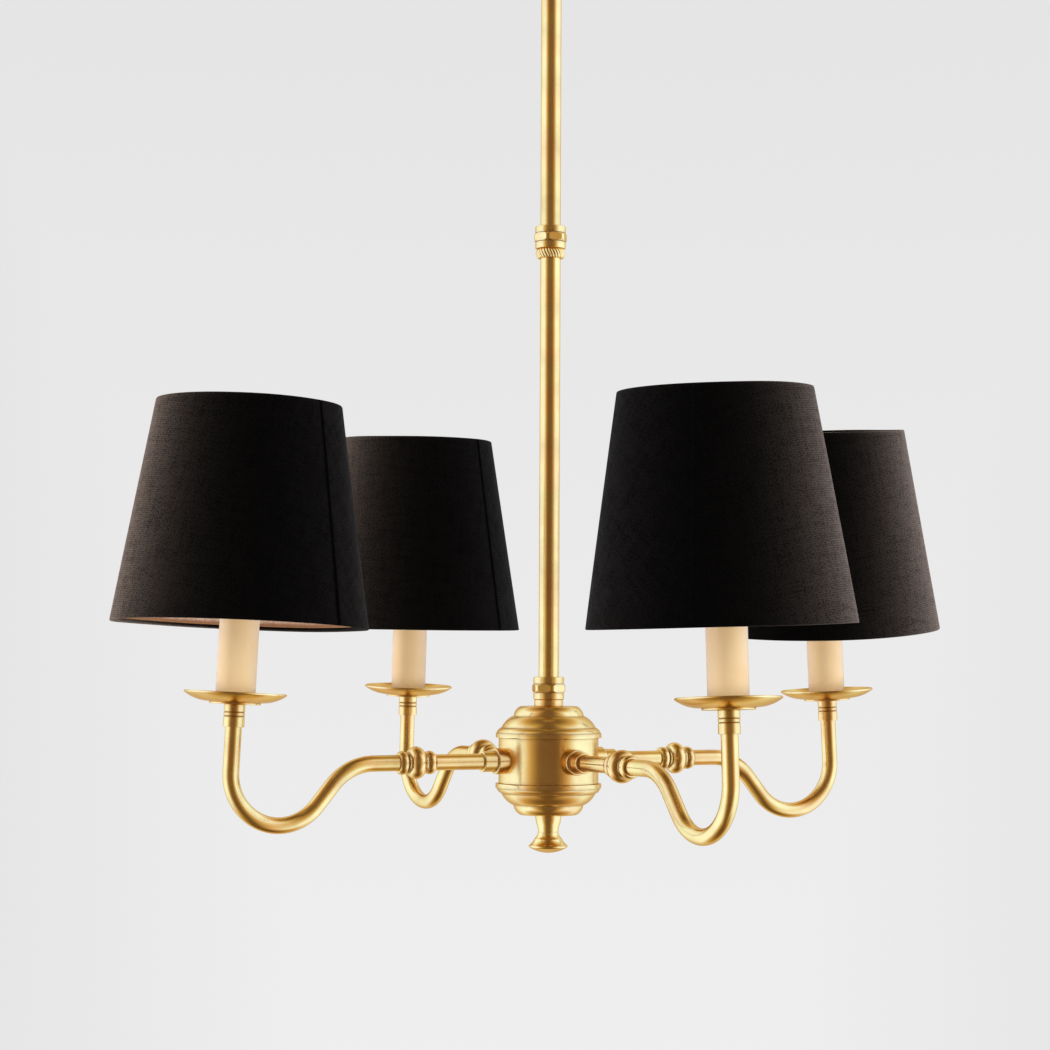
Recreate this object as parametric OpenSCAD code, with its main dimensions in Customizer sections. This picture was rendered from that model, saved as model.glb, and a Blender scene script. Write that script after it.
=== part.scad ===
// Four-arm brass chandelier with candle lights and round linen shades.
// Millimetres, +Z up. The origin is on the ceiling plane, midway between the two bracket screws.

/* [Ceiling fitting] */
// Height of the ceiling above the arm axis
ceiling_drop = 580; // [540:1:900]
// Distance between the two bracket screws
screw_spacing = 70; // [64:1:78]
// Width of a bracket screw slot
slot_width = 4.5; // [3.5:0.1:6]
// End-to-end length of a bracket screw slot
slot_length = 12; // [8:0.5:14]
// Width of the bracket strap
bracket_width = 22; // [18:1:28]
// Thickness of the bracket strap
bracket_thick = 2; // [1.5:0.1:3]
// How far the middle of the bracket stands off the ceiling
bracket_step = 12; // [10:0.5:16]
// Strap left beyond each end of a screw slot
ear_margin = 5; // [3:0.5:6]
// Length, width and height of the terminal block
block_size = [28, 14, 12]; // [8:1:32]
// Number of ways in the terminal block
block_ways = 3; // [2:1:4]
// Bore of the terminal block's wire and screw holes
block_bore = 3.4; // [2:0.1:5]
// Gap between the stem and the terminal block
block_gap = 3; // [1:0.5:6]
// Outer diameter of the canopy rim
canopy_d = 112; // [108:1:140]
// Depth of the canopy below the ceiling
canopy_h = 36; // [32:1:60]
// Height of the straight band at the canopy rim
canopy_band = 5; // [3:0.5:10]
// How far the canopy dome is set in from its rim
canopy_set_in = 1.5; // [0.5:0.1:4]
// Rise of the canopy dome above the straight line from rim to crown
canopy_bulge = 9; // [4:0.5:12]
// Flat left on the canopy crown round its nut
canopy_ledge = 3; // [1:0.5:6]
// Wall of the canopy
canopy_wall = 1.2; // [0.8:0.1:2]
// Diameter of the canopy nut
canopy_nut_d = 24; // [18:1:30]
// Height of the canopy nut
canopy_nut_h = 6; // [4:0.5:10]

/* [Swivel] */
// Diameter of the threaded stem
stem_d = 10; // [8:0.5:12]
// Wire way through the stem
stem_bore = 6; // [4:0.5:7]
// Width across flats of the bracket nut
stem_nut_flats = 15; // [14:0.5:19]
// Height of the bracket nut
stem_nut_h = 5; // [4:0.5:6]
// Stem showing above the bracket nut
stem_show = 1.5; // [0.5:0.5:3]
// Diameter of the fork
fork_d = 20; // [18:0.5:26]
// Solid head of the fork above its slot
fork_head = 6; // [4:0.5:12]
// Width of the fork slot
fork_slot = 8; // [6:0.5:10]
// Radius of the cheeks around the pin
cheek_r = 9; // [8:0.5:12]
// Diameter of the cross pin
pin_d = 5; // [4:0.5:6]
// Diameter of the pin head
pin_head_d = 8; // [7:0.5:10]
// Thickness of the pin head
pin_head_h = 1.8; // [1:0.1:3]
// Gap between the tongue and the floor of the fork slot
tongue_room = 1.5; // [1:0.5:4]
// Radius of the tongue around the pin
tongue_r = 8; // [6:0.5:9]
// Bare tongue between the cheeks and the rod socket
tongue_neck = 2.5; // [2:0.5:8]
// Outer diameter of the rod socket
socket_d = 17; // [16:0.5:22]
// Roof of the rod socket
socket_roof = 4; // [3:0.5:8]
// Empty chamber above the rod end, where the wires leave
socket_chamber = 6; // [6:0.5:12]
// Diameter of the wire hole in the side of the chamber
socket_hole = 5; // [3:0.5:5]
// Length of rod held in the socket
socket_grip = 9; // [6:0.5:16]

/* [Rods] */
// Outer diameter of the rods
rod_d = 13; // [12:0.1:14]
// Wall of the rods
rod_wall = 1.2; // [0.8:0.1:1.4]
// Length of the lower rod
lower_rod_l = 289; // [150:1:330]
// Length of the nipple inside the rod joint
nipple_l = 40; // [20:1:60]
// Wall of the nipple
nipple_wall = 1.4; // [1:0.1:2]
// Diameter of the coupler's round ends
coupler_d = 19.6; // [18:0.1:24]
// Height of each round end of a coupler
coupler_end = 4.6; // [3:0.1:8]
// Width across flats of the coupler's hexagon
coupler_flats = 19.6; // [18:0.1:24]
// Height of the coupler's hexagon
coupler_hex = 5.2; // [3:0.1:10]
// Turn of the rod coupler's hexagon
rod_hex_turn = 19; // [0:1:59]
// Turn of the neck coupler's hexagon
neck_hex_turn = 44; // [0:1:59]
// Diameter of the rope ring
rope_ring_d = 19; // [17:0.1:24]
// Height of the rope ring
rope_ring_h = 6.2; // [4:0.1:10]

/* [Body] */
// Outer diameter of the body shell
shell_d = 63.6; // [62:0.2:80]
// Height of the body shell
shell_h = 29; // [28:0.5:50]
// Wall of the body shell
shell_wall = 1.5; // [1:0.1:2.5]
// How far the cover flanges stand proud of the shell
flange_proud = 1.9; // [0.4:0.1:3]
// Height of a cover flange
flange_h = 2.8; // [1.5:0.1:5]
// Wall of the covers
cover_wall = 1.5; // [1:0.1:2.5]
// Depth of the cover lip inside the shell
lip_h = 3; // [1.5:0.1:4]
// Lowest step of a cover: distance in from the flange's edge at its start and end, height
step_low = [0.5, 3.2, 3.4]; // [0.5:0.1:12]
// Middle step of a cover: distance in from the flange's edge at its start and end, height
step_mid = [3.6, 10.2, 7.2]; // [3:0.1:14]
// Top step of a cover: distance in from the flange's edge at its start and end, height
step_top = [11.3, 15.6, 6.5]; // [5:0.1:20]
// Roundness of the lowest, middle and top steps of a cover
step_bulge = [0.5, 0.8, 1]; // [0.2:0.1:1.5]
// Diameter of the neck ring
neck_ring_d = 18.4; // [16:0.1:24]
// Height of the neck ring
neck_ring_h = 4.2; // [2:0.1:10]
// Diameter of the tie tube
tie_d = 10; // [8:0.1:10.2]
// Wall of the tie tube
tie_wall = 1.4; // [1:0.1:2]
// Length of tie tube inside the rod above
tie_reach = 12; // [6:0.5:30]
// Diameter of the wire hole in the side of the tie tube
tie_hole = 5; // [3:0.5:6]
// Diameter of the finial at its top
finial_top_d = 16.8; // [15:0.1:20]
// Diameter of the finial at its shoulder
finial_shoulder_d = 15; // [14:0.1:18]
// Diameter of the finial at its waist
finial_waist_d = 12.8; // [12:0.1:15]
// Diameter of the finial at its rim
finial_rim_d = 24.8; // [20:0.2:34]
// Height of the finial
finial_h = 24.2; // [22:0.1:34]
// Distance from the top of the finial down to its shoulder
finial_shoulder = 5.7; // [4:0.1:7]
// Distance from the top of the finial down to its waist
finial_waist = 10.9; // [8.5:0.1:12]
// Distance from the top of the finial down to its rim
finial_rim = 19.7; // [17:0.1:20.5]
// Roundness of the finial from its top to its shoulder
shoulder_bulge = 0.2; // [0.1:0.05:0.6]
// Hollow of the finial's curves from shoulder to waist, waist to flare and flare to rim
finial_hollow = [0.15, 0.4, 0.3]; // [0.1:0.05:1.5]
// How much wider the finial is halfway from waist to rim
finial_flare = 4.8; // [2:0.1:6]
// Roundness of the underside of the finial
finial_bulge = 0.8; // [0.4:0.1:1.5]
// Length of tie tube held in the finial
finial_grip = 8; // [5:0.5:12]

/* [Arms] */
// Turn of the first arm about the body
first_arm = -62; // [-90:1:0]
// Turn of each arm away from even spacing
arm_stray = [0.5, 0, 0, 0]; // [-3:0.5:3]
// Distance from the body axis to the foot of a drip pan
arm_reach = 213; // [205:1:260]
// Height of the drip pan foot above the arm axis
arm_rise = 37; // [30:0.5:60]
// Depth of the lowest bend below the arm axis
arm_dip = 36.3; // [34:0.1:45]
// Slope between the two bends
arm_slope = 50; // [40:1:60]
// Radius of the upper bend
upper_bend = 35; // [25:0.5:40]
// Radius of the lower bend
lower_bend = 31.5; // [26:0.5:34]
// Outer diameter of the arm tube
tube_d = 10; // [9:0.1:11]
// Wall of the arm tube
tube_wall = 1; // [0.8:0.1:1.5]
// How far the straight lengths of an arm run into its bends
bend_lap = 0.5; // [0.3:0.1:1]
// How much fatter the tube is, all round, where it is bent
bend_swell = 0.02; // [0.01:0.01:0.1]
// Distance from the body axis to the middle of a knuckle
knuckle_at = 93.3; // [70:0.1:100]
// Diameter and length of the knuckle ball
knuckle_ball = [20.2, 10]; // [8:0.1:24]
// Diameter and length of each knuckle ring
knuckle_ring = [14.6, 6]; // [4:0.1:18]
// Wall left at the root of each knuckle ring
knuckle_root = 0.9; // [0.6:0.1:1.5]
// Diameter and length of the bead between ball and ring
knuckle_bead = [13, 1.3]; // [1:0.1:14]
// Diameter and length of the ferrule flange
ferrule_flange = [16.2, 6.9]; // [4:0.1:20]
// Diameter and length of the ferrule sleeve
ferrule_sleeve = [13.2, 9]; // [4:0.1:16]
// Width across flats of the lock nuts
lock_nut_flats = 14; // [13:0.5:17]
// Thickness of the lock nuts
lock_nut_h = 4; // [3:0.5:6]
// Arm thread showing inside the lock nut
thread_show = 2; // [1:0.5:4]
// Diameter of the tip collar
tip_d = 12.8; // [12:0.1:16]
// Height of the tip collar
tip_h = 13.6; // [10:0.1:20]
// Depth of the two grooves in the tip collar
tip_groove = 0.5; // [0.2:0.1:0.8]
// Distance between the two grooves in the tip collar
tip_bead = 2.4; // [1.6:0.1:4]
// Distance from the top of the tip collar to the middle of its bead
tip_bead_at = 5.9; // [4:0.1:7]

/* [Candles] */
// Inward lean of the candles
candle_lean = 3; // [0:0.5:6]
// Diameter of the drip pan rim
pan_d = 62; // [50:0.5:80]
// Height of the drip pan
pan_h = 7.5; // [6:0.1:12]
// Diameter of the drip pan foot
pan_foot_d = 31; // [28:0.5:40]
// Height of the drip pan foot
pan_foot_h = 1.3; // [1:0.1:2]
// How far the drip pan's dish is set in from the edge of its foot
pan_ledge = 1.2; // [0.6:0.1:2]
// Wall of the drip pan
pan_wall = 1.1; // [0.8:0.1:1.5]
// Roundness of the drip pan
pan_bulge = 1.6; // [0.5:0.1:2.5]
// Outer diameter of the candle tube
candle_d = 24; // [22:0.5:28]
// Height of the candle tube
candle_h = 80; // [65:1:110]
// Wall of the candle tube
candle_wall = 1.2; // [0.8:0.1:2]
// Wall of the lampholder pillar
holder_wall = 2.2; // [1.5:0.1:2.6]
// Thickness of the lampholder base on the arm thread
holder_base = 8; // [5:0.5:12]
// Thickness of the contact floor in the lampholder
holder_floor = 3; // [2:0.5:6]
// Diameter of the wire hole in the contact floor
contact_hole = 6; // [4:0.5:8]
// How far the lampholder lies below the candle top
holder_sink = 1; // [0.5:0.1:3]

/* [Bulbs] */
// Diameter of the bulb cap
cap_d = 13.8; // [12:0.1:14]
// Length of the bulb cap
cap_l = 24; // [18:0.5:28]
// Width and height of the slope round the cap's end contact
cap_slope = [3, 2]; // [1:0.5:4]
// Diameter of the flange at the top of the cap
cap_flange_d = 15.6; // [14.6:0.1:18]
// Height of the flange at the top of the cap
cap_flange_h = 1.5; // [1:0.1:3]
// Gap between the candle top and the cap flange
cap_gap = 0.5; // [0.3:0.1:3]
// Largest diameter of the glass
bulb_d = 35; // [30:0.5:38]
// Distance from the cap to the widest part of the glass
bulb_belly = 27; // [20:0.5:32]
// Distance from the widest part to the tip of the glass
bulb_tip = 48; // [40:0.5:56]
// Diameter of the flat at the very tip of the glass
bulb_tip_d = 4; // [2:0.1:6]
// Diameter of the glass neck
bulb_neck_d = 14; // [12:0.1:14.4]
// Wall of the glass
glass_wall = 0.8; // [0.6:0.1:1]

/* [Shades] */
// Outer diameter of the shade at its bottom
shade_bottom_d = 155; // [130:0.5:175]
// Outer diameter of the shade at its top
shade_top_d = 112; // [90:0.5:130]
// Height of the shade along its own axis
shade_h = 134; // [115:0.5:160]
// Thickness of the lined linen
shade_wall = 1; // [0.6:0.1:1.5]
// Height of the linen turned in at each edge
hem_h = 10; // [6:0.5:14]
// Thickness of the linen turned in at each edge
hem_wall = 0.5; // [0.2:0.1:1]
// Width of the lap seam as an angle
seam_width = 7; // [4:0.5:12]
// How far the lap seam stands proud
seam_proud = 0.3; // [0.1:0.1:1]
// How far the lap seam stops short of the edges
seam_inset = 1; // [0.5:0.5:4]
// Turn of each lap seam about its own shade
seam_turn = [-41, 60, -148, 121]; // [-180:1:180]
// Inward lean of each shade
shade_lean = [0, 4, 1, 2.5]; // [-5:0.5:5]
// Sideways lean of each shade
shade_tip = [-2, -4, 0, -1]; // [-5:0.5:5]
// How far each shade sits to the side of its bulb
shade_shift = [-3.3, 0, 0, 0]; // [-5:0.1:5]
// Wire of the shade's top ring, hem roll, hub ring and clip hoop
ring_wire = 2.6; // [2.4:0.1:3]
// Wire of the spokes and clip legs
spoke_wire = 2; // [1.6:0.1:2.2]
// Distance of the ring wires from the shade's edges
ring_inset = 2.5; // [2:0.1:5]
// Depth of the hub ring below the top of the shade
hub_drop = 17; // [12:0.5:24]
// Diameter of the hub ring at the middle of its wire
hub_d = 28; // [26:0.5:36]
// Height of the hub ring above the tip of the bulb
hub_clear = 5; // [4:0.5:12]
// Height of the clip hoop above the widest part of the bulb
hoop_at = 20; // [14:0.5:24]
// Compass direction of the first spoke of every shade
spoke_turn = 90; // [0:5:120]
// Number of spokes, and of clip legs
spokes = 3; // [3:1:4]

/* [Fits] */
// Gap between pieces that are fixed one inside the other
slip = 0.05; // [0.02:0.01:0.1]
// Radial gap between a turning shaft and its hole
run_clear = 0.05; // [0.02:0.01:0.1]
// Gap between pieces that move past each other
move_gap = 0.3; // [0.2:0.05:0.5]

/* [Hidden] */
$fn = 64;
arm_count = 4;
arc_steps = 8;
cut_margin = 1;

COMMON = [
    "ceiling_bracket", "bracket_nut", "terminal_block", "canopy", "canopy_nut",
    "swivel_fork", "swivel_pin", "swivel_tongue", "upper_rod", "rod_coupler",
    "rod_rope_ring", "rod_nipple", "lower_rod", "neck_coupler", "neck_ring",
    "body_top_cover", "body_shell", "body_bottom_cover", "tie_tube", "finial",
    "arm_ferrules", "lock_nuts", "tip_collars",
];
PER_ARM = [
    "arm", "knuckle", "drip_pan", "candle_tube", "lampholder",
    "bulb_cap", "bulb_glass", "shade", "shade_frame",
];

// Ceiling fitting and swivel, measured down from the ceiling
ear_length = slot_length + 2 * ear_margin;
ear_inner = (screw_spacing - ear_length) / 2;
web_z = -bracket_step;
stem_top_z = web_z + move_gap + stem_nut_h + stem_show;
canopy_crown_r = canopy_nut_d / 2 + canopy_ledge;
canopy_nut_z = -canopy_h - move_gap;
fork_top_z = canopy_nut_z - canopy_nut_h;
slot_top_z = fork_top_z - fork_head;
pivot_z = slot_top_z - tongue_room - tongue_r;
socket_top_z = pivot_z - cheek_r - tongue_neck;
chamber_top_z = socket_top_z - socket_roof;
socket_bottom_z = chamber_top_z - socket_chamber - socket_grip;
rod_top_z = socket_bottom_z + socket_grip;

// Body and rods, measured up from the arm axis
shell_r = shell_d / 2;
shell_in = shell_r - shell_wall;
flange_z = shell_h / 2;
step_z = flange_z + flange_h;
crown_z = step_z + step_low[2] + step_mid[2] + step_top[2];
coupler_h = 2 * coupler_end + coupler_hex;
neck_z = crown_z + neck_ring_h;
rod_foot_z = neck_z + coupler_h / 2;
rod_joint_z = rod_foot_z + lower_rod_l;
rod_r = rod_d / 2;
rod_in = rod_r - rod_wall;

// Arm path in its own upright plane: distance from the body axis, height above the arm axis
tube_r = tube_d / 2;
tube_in = tube_r - tube_wall;
stem_run = (arm_rise + arm_dip - lower_bend * (1 + sin(candle_lean))) / cos(candle_lean);
low_centre = [
    arm_reach + stem_run * sin(candle_lean) - lower_bend * cos(candle_lean),
    lower_bend - arm_dip,
];
slope_foot = low_centre - lower_bend * [sin(arm_slope), cos(arm_slope)];
slope_top_z = -upper_bend * (1 - cos(arm_slope));
slope_run = (slope_top_z - slope_foot[1]) / sin(arm_slope);
slope_top = [slope_foot[0] - slope_run * cos(arm_slope), slope_top_z];
straight_end = slope_top[0] - upper_bend * sin(arm_slope);
lock_nut_r = lock_nut_flats / (2 * cos(30));
lock_nut_face = sqrt(pow(shell_in, 2) - pow(lock_nut_r, 2)) - slip;
arm_start = lock_nut_face - lock_nut_h - thread_show;

// Light on its leaning axis, measured up from the drip pan foot
pan_floor = pan_foot_h + pan_wall;
candle_top = pan_floor + candle_h;
holder_r = candle_d / 2 - candle_wall - slip;
holder_top = candle_top - holder_sink;
cap_z = candle_top + cap_gap + cap_flange_h;
cap_foot = cap_z - cap_l;
belly_z = cap_z + bulb_belly;
glass_tip = belly_z + bulb_tip;
glass_r = bulb_d / 2;
tip_depth = glass_r - bulb_tip_d / 2;
ogive_r = (pow(bulb_tip, 2) + pow(tip_depth, 2)) / (2 * tip_depth);
socket_in = cap_d / 2 + move_gap;

// Shade on its own leaning axis, measured up from the middle of its bottom edge
shade_lift = glass_tip + hub_clear + hub_drop - shade_h;
shade_taper = (shade_bottom_d - shade_top_d) / 2 / shade_h;
shade_angle = atan(shade_taper);
hub_z = shade_h - hub_drop;
hoop_reach = ogive_r + move_gap + ring_wire / 2;
hoop_r = sqrt(pow(hoop_reach, 2) - pow(hoop_at, 2)) - (ogive_r - glass_r);

// Points on the arc from p to q that stands off its chord, to the left of the way from p to q
function arc(p, q, bulge) =
    let (chord = norm(q - p), along = (q - p) / chord, side = [-along[1], along[0]])
    let (radius = (pow(chord / 2, 2) + pow(bulge, 2)) / (2 * bulge))
    let (centre = (p + q) / 2 + side * (bulge - radius), half = asin(chord / 2 / radius))
    [for (i = [0:arc_steps])
        let (turn = half * (2 * i / arc_steps - 1))
        centre + radius * (side * cos(turn) + along * sin(turn))];

function reversed(points) = [for (i = [len(points) - 1:-1:0]) points[i]];
function shifted(points, offset) = [for (p = points) p + offset];
function turned_x(p, a) = [p[0], p[1] * cos(a) - p[2] * sin(a), p[1] * sin(a) + p[2] * cos(a)];
function turned_y(p, a) = [p[0] * cos(a) + p[2] * sin(a), p[1], p[2] * cos(a) - p[0] * sin(a)];
function ring_point(radius, angle, z) = [radius * cos(angle), radius * sin(angle), z];

function arm_angle(k) = first_arm + k * 360 / arm_count + arm_stray[k];

// A point of the light or of the shade, in the frame of its arm
function light_point(p) = [arm_reach, 0, arm_rise] + turned_y(p, -candle_lean);
function shade_foot(k) = light_point([0, shade_shift[k], shade_lift]);
function shade_point(k, p) =
    shade_foot(k) + turned_y(turned_x(p, -shade_tip[k]), -shade_lean[k]);

// Inner radius of the shade wall, and the middle radius of a ring wire that lies against its hem
function shade_in(z) = shade_bottom_d / 2 - shade_taper * z - shade_wall;
function ring_r(z) = shade_in(z) - hem_wall - (ring_wire / 2 + slip) / cos(shade_angle);

// Radius of the glass below and above its widest part
function glass_low(s) =
    bulb_neck_d / 2 + (glass_r - bulb_neck_d / 2) * (1 - cos(180 * s / bulb_belly)) / 2;
function glass_high(s) = sqrt(pow(ogive_r, 2) - pow(s, 2)) - (ogive_r - glass_r);

module hang() {
    translate([0, 0, -ceiling_drop]) children();
}

module at_arm(k) {
    hang() rotate([0, 0, arm_angle(k)]) children();
}

module at_light(k) {
    at_arm(k) translate([arm_reach, 0, arm_rise]) rotate([0, -candle_lean, 0]) children();
}

module at_shade(k) {
    at_arm(k) translate(shade_foot(k)) rotate([-shade_tip[k], -shade_lean[k], 0]) children();
}

module turned(points) {
    rotate_extrude() polygon(points);
}

module along_x() {
    rotate([0, 90, 0]) children();
}

module pipe(outer_r, inner_r, z0, z1) {
    difference() {
        translate([0, 0, z0]) cylinder(r = outer_r, h = z1 - z0);
        translate([0, 0, z0 - cut_margin]) cylinder(r = inner_r, h = z1 - z0 + 2 * cut_margin);
    }
}

module wire_ring(radius, wire, z) {
    translate([0, 0, z]) rotate_extrude() translate([radius, 0]) circle(d = wire);
}

module wire(p, q, wire_d) {
    v = q - p;
    length = norm(v);
    translate(p) rotate([0, acos(v[2] / length), atan2(v[1], v[0])]) cylinder(d = wire_d, h = length);
}

module block(low, high) {
    translate(low) cube(high - low);
}

// Ceiling fitting

module ceiling_bracket() {
    half_w = bracket_width / 2;
    color("silver") difference() {
        union() {
            block([-ear_inner, -half_w, web_z - bracket_thick], [ear_inner, half_w, web_z]);
            for (side = [-1, 1]) scale([side, 1, 1]) {
                block([ear_inner - bracket_thick, -half_w, web_z - bracket_thick], [ear_inner, half_w, 0]);
                block([ear_inner - bracket_thick, -half_w, -bracket_thick],
                    [ear_inner + ear_length, half_w, 0]);
            }
        }
        translate([0, 0, web_z - bracket_thick - cut_margin])
            cylinder(r = stem_d / 2 + run_clear, h = bracket_thick + 2 * cut_margin);
        for (side = [-1, 1]) translate([side * screw_spacing / 2, 0, 0]) screw_slot();
    }
}

module screw_slot() {
    straight = (slot_length - slot_width) / 2;
    deep = bracket_thick + cut_margin;
    for (side = [-1, 1]) translate([side * straight, 0, -deep])
        cylinder(d = slot_width, h = deep + cut_margin);
    block([-straight, -slot_width / 2, -deep], [straight, slot_width / 2, cut_margin]);
}

module hex_nut(flats, bore_r, h) {
    difference() {
        cylinder(r = flats / (2 * cos(30)), h = h, $fn = 6);
        translate([0, 0, -cut_margin]) cylinder(r = bore_r, h = h + 2 * cut_margin);
    }
}

module bracket_nut() {
    color("silver") translate([0, 0, web_z + move_gap])
        hex_nut(stem_nut_flats, stem_d / 2 + slip, stem_nut_h);
}

module terminal_block() {
    top_z = web_z - bracket_thick;
    near = stem_d / 2 + block_gap;
    pitch = block_size[0] / block_ways;
    color("white") difference() {
        block([near, -block_size[0] / 2, top_z - block_size[2]],
            [near + block_size[1], block_size[0] / 2, top_z]);
        for (way = [0:block_ways - 1])
            translate([near, (way - (block_ways - 1) / 2) * pitch, top_z - block_size[2] / 2]) {
                translate([-cut_margin, 0, 0]) along_x()
                    cylinder(d = block_bore, h = block_size[1] + 2 * cut_margin);
                for (x = [1, 3] / 4 * block_size[1]) translate([x, 0, -block_size[2]])
                    cylinder(d = block_bore, h = block_size[2]);
            }
    }
}

module canopy() {
    rim_r = canopy_d / 2;
    dome_r = rim_r - canopy_set_in;
    hole_r = stem_d / 2 + move_gap;
    outer = concat(
        [[rim_r, -canopy_band]],
        arc([dome_r, -canopy_band], [canopy_crown_r, -canopy_h], canopy_bulge)
    );
    inner = shifted(outer, [-canopy_wall, canopy_wall]);
    color("goldenrod") turned(concat(
        [[rim_r, 0]],
        outer,
        [[hole_r, -canopy_h], [hole_r, canopy_wall - canopy_h]],
        reversed(inner),
        [[rim_r - canopy_wall, 0]]
    ));
}

module canopy_nut() {
    nut_r = canopy_nut_d / 2;
    bore_r = stem_d / 2 + slip;
    edge = 0.8;
    color("goldenrod") translate([0, 0, canopy_nut_z]) turned([
        [bore_r, 0], [nut_r - edge, 0], [nut_r, -edge],
        [nut_r, edge - canopy_nut_h], [nut_r - edge, -canopy_nut_h], [bore_r, -canopy_nut_h],
    ]);
}

// Swivel

module swivel_fork() {
    color("goldenrod") difference() {
        union() {
            translate([0, 0, slot_top_z]) cylinder(d = stem_d, h = stem_top_z - slot_top_z);
            intersection() {
                translate([0, 0, pivot_z - cheek_r])
                    cylinder(d = fork_d, h = fork_top_z - pivot_z + cheek_r);
                union() {
                    translate([-fork_d / 2, 0, pivot_z]) along_x() cylinder(r = cheek_r, h = fork_d);
                    block([-fork_d, -cheek_r, pivot_z], [fork_d, cheek_r, slot_top_z]);
                    block([-fork_d, -fork_d, slot_top_z], [fork_d, fork_d, fork_top_z]);
                }
            }
        }
        block([-fork_slot / 2, -fork_d, pivot_z - fork_d], [fork_slot / 2, fork_d, slot_top_z]);
        translate([-fork_d, 0, pivot_z]) along_x() cylinder(r = pin_d / 2 + slip, h = 2 * fork_d);
        translate([0, 0, slot_top_z - cut_margin])
            cylinder(d = stem_bore, h = stem_top_z - slot_top_z + 2 * cut_margin);
    }
}

module swivel_pin() {
    reach = fork_d / 2 + slip;
    color("darkgoldenrod") translate([0, 0, pivot_z]) along_x() {
        translate([0, 0, -reach]) cylinder(d = pin_d, h = 2 * reach);
        translate([0, 0, reach]) cylinder(d = pin_head_d, h = pin_head_h);
    }
}

module swivel_tongue() {
    half_t = fork_slot / 2 - move_gap;
    chamber_r = rod_r + slip;
    color("goldenrod") difference() {
        union() {
            translate([-half_t, 0, pivot_z]) along_x() cylinder(r = tongue_r, h = 2 * half_t);
            block([-half_t, -tongue_r, socket_top_z], [half_t, tongue_r, pivot_z]);
            translate([0, 0, socket_bottom_z]) cylinder(d = socket_d, h = socket_top_z - socket_bottom_z);
        }
        translate([-fork_slot, 0, pivot_z]) along_x()
            cylinder(r = pin_d / 2 + run_clear, h = 2 * fork_slot);
        translate([0, 0, socket_bottom_z - cut_margin])
            cylinder(r = chamber_r, h = chamber_top_z - socket_bottom_z + cut_margin);
        translate([0, 0, chamber_top_z - socket_chamber / 2]) rotate([-90, 0, 0])
            cylinder(d = socket_hole, h = socket_d);
    }
}

// Rods and couplers

module upper_rod() {
    color("goldenrod") pipe(rod_r, rod_in, rod_joint_z - ceiling_drop + slip, rod_top_z);
}

module lower_rod() {
    color("goldenrod") hang() pipe(rod_r, rod_in, rod_foot_z, rod_joint_z - slip);
}

module coupler_body(hex_turn) {
    edge = 0.6;
    end_r = coupler_d / 2;
    hex_z = coupler_end + coupler_hex;
    turned([
        [0, 0], [end_r - edge, 0], [end_r, edge], [end_r, coupler_end],
        [end_r - edge, coupler_end], [end_r - edge, hex_z],
        [end_r, hex_z], [end_r, coupler_h - edge], [end_r - edge, coupler_h], [0, coupler_h],
    ]);
    translate([0, 0, coupler_end]) rotate([0, 0, hex_turn])
        cylinder(r = coupler_flats / (2 * cos(30)), h = coupler_hex, $fn = 6);
}

module rod_coupler() {
    color("goldenrod") hang() translate([0, 0, rod_joint_z - coupler_h / 2]) difference() {
        coupler_body(rod_hex_turn);
        translate([0, 0, -cut_margin]) cylinder(r = rod_r + slip, h = coupler_h + 2 * cut_margin);
    }
}

module neck_coupler() {
    color("goldenrod") hang() translate([0, 0, neck_z]) difference() {
        coupler_body(neck_hex_turn);
        translate([0, 0, -cut_margin]) cylinder(r = tie_d / 2 + slip, h = coupler_h);
        translate([0, 0, coupler_h / 2]) cylinder(r = rod_r + slip, h = coupler_h);
    }
}

module rod_rope_ring() {
    bore_r = rod_r + slip;
    ring_out = rope_ring_d / 2;
    edge = 1.2;
    color("darkgoldenrod") hang() translate([0, 0, rod_joint_z - coupler_h / 2]) turned(concat(
        [[bore_r, -rope_ring_h]],
        arc([ring_out - edge, -rope_ring_h], [ring_out - edge, 0], -edge),
        [[bore_r, 0]]
    ));
}

module rod_nipple() {
    nipple_r = rod_in - slip;
    color("darkgoldenrod") hang()
        pipe(nipple_r, nipple_r - nipple_wall, rod_joint_z - nipple_l / 2, rod_joint_z + nipple_l / 2);
}

// Body

// Upper cover: stepped dome, flange on the shell edge and a lip inside the shell
module body_cover() {
    hole_r = tie_d / 2 + slip;
    low_z = step_z + step_low[2];
    mid_z = low_z + step_mid[2];
    flange_r = shell_r + flange_proud;
    steps = concat(
        arc([flange_r - step_top[1], crown_z], [flange_r - step_top[0], mid_z], step_bulge[2]),
        arc([flange_r - step_mid[1], mid_z], [flange_r - step_mid[0], low_z], step_bulge[1]),
        arc([flange_r - step_low[1], low_z], [flange_r - step_low[0], step_z], step_bulge[0])
    );
    lip_r = shell_in - slip;
    lip_in = lip_r - cover_wall;
    edge = 0.4;
    inner = [for (p = steps) [min(p[0] - cover_wall, lip_in), p[1] - cover_wall]];
    turned(concat(
        [[hole_r, crown_z]],
        steps,
        [[flange_r - edge, step_z], [flange_r, step_z - edge], [flange_r, flange_z]],
        [[lip_r, flange_z], [lip_r, flange_z - lip_h], [lip_in, flange_z - lip_h]],
        reversed(inner),
        [[hole_r, crown_z - cover_wall]]
    ));
}

module body_top_cover() {
    color("goldenrod") hang() body_cover();
}

module body_bottom_cover() {
    color("goldenrod") hang() mirror([0, 0, 1]) body_cover();
}

module body_shell() {
    color("goldenrod") hang() difference() {
        pipe(shell_r, shell_in, -flange_z, flange_z);
        for (k = [0:arm_count - 1]) rotate([0, 0, arm_angle(k)])
            translate([shell_in / 2, 0, 0]) along_x() cylinder(r = tube_r + slip, h = shell_r);
    }
}

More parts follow.
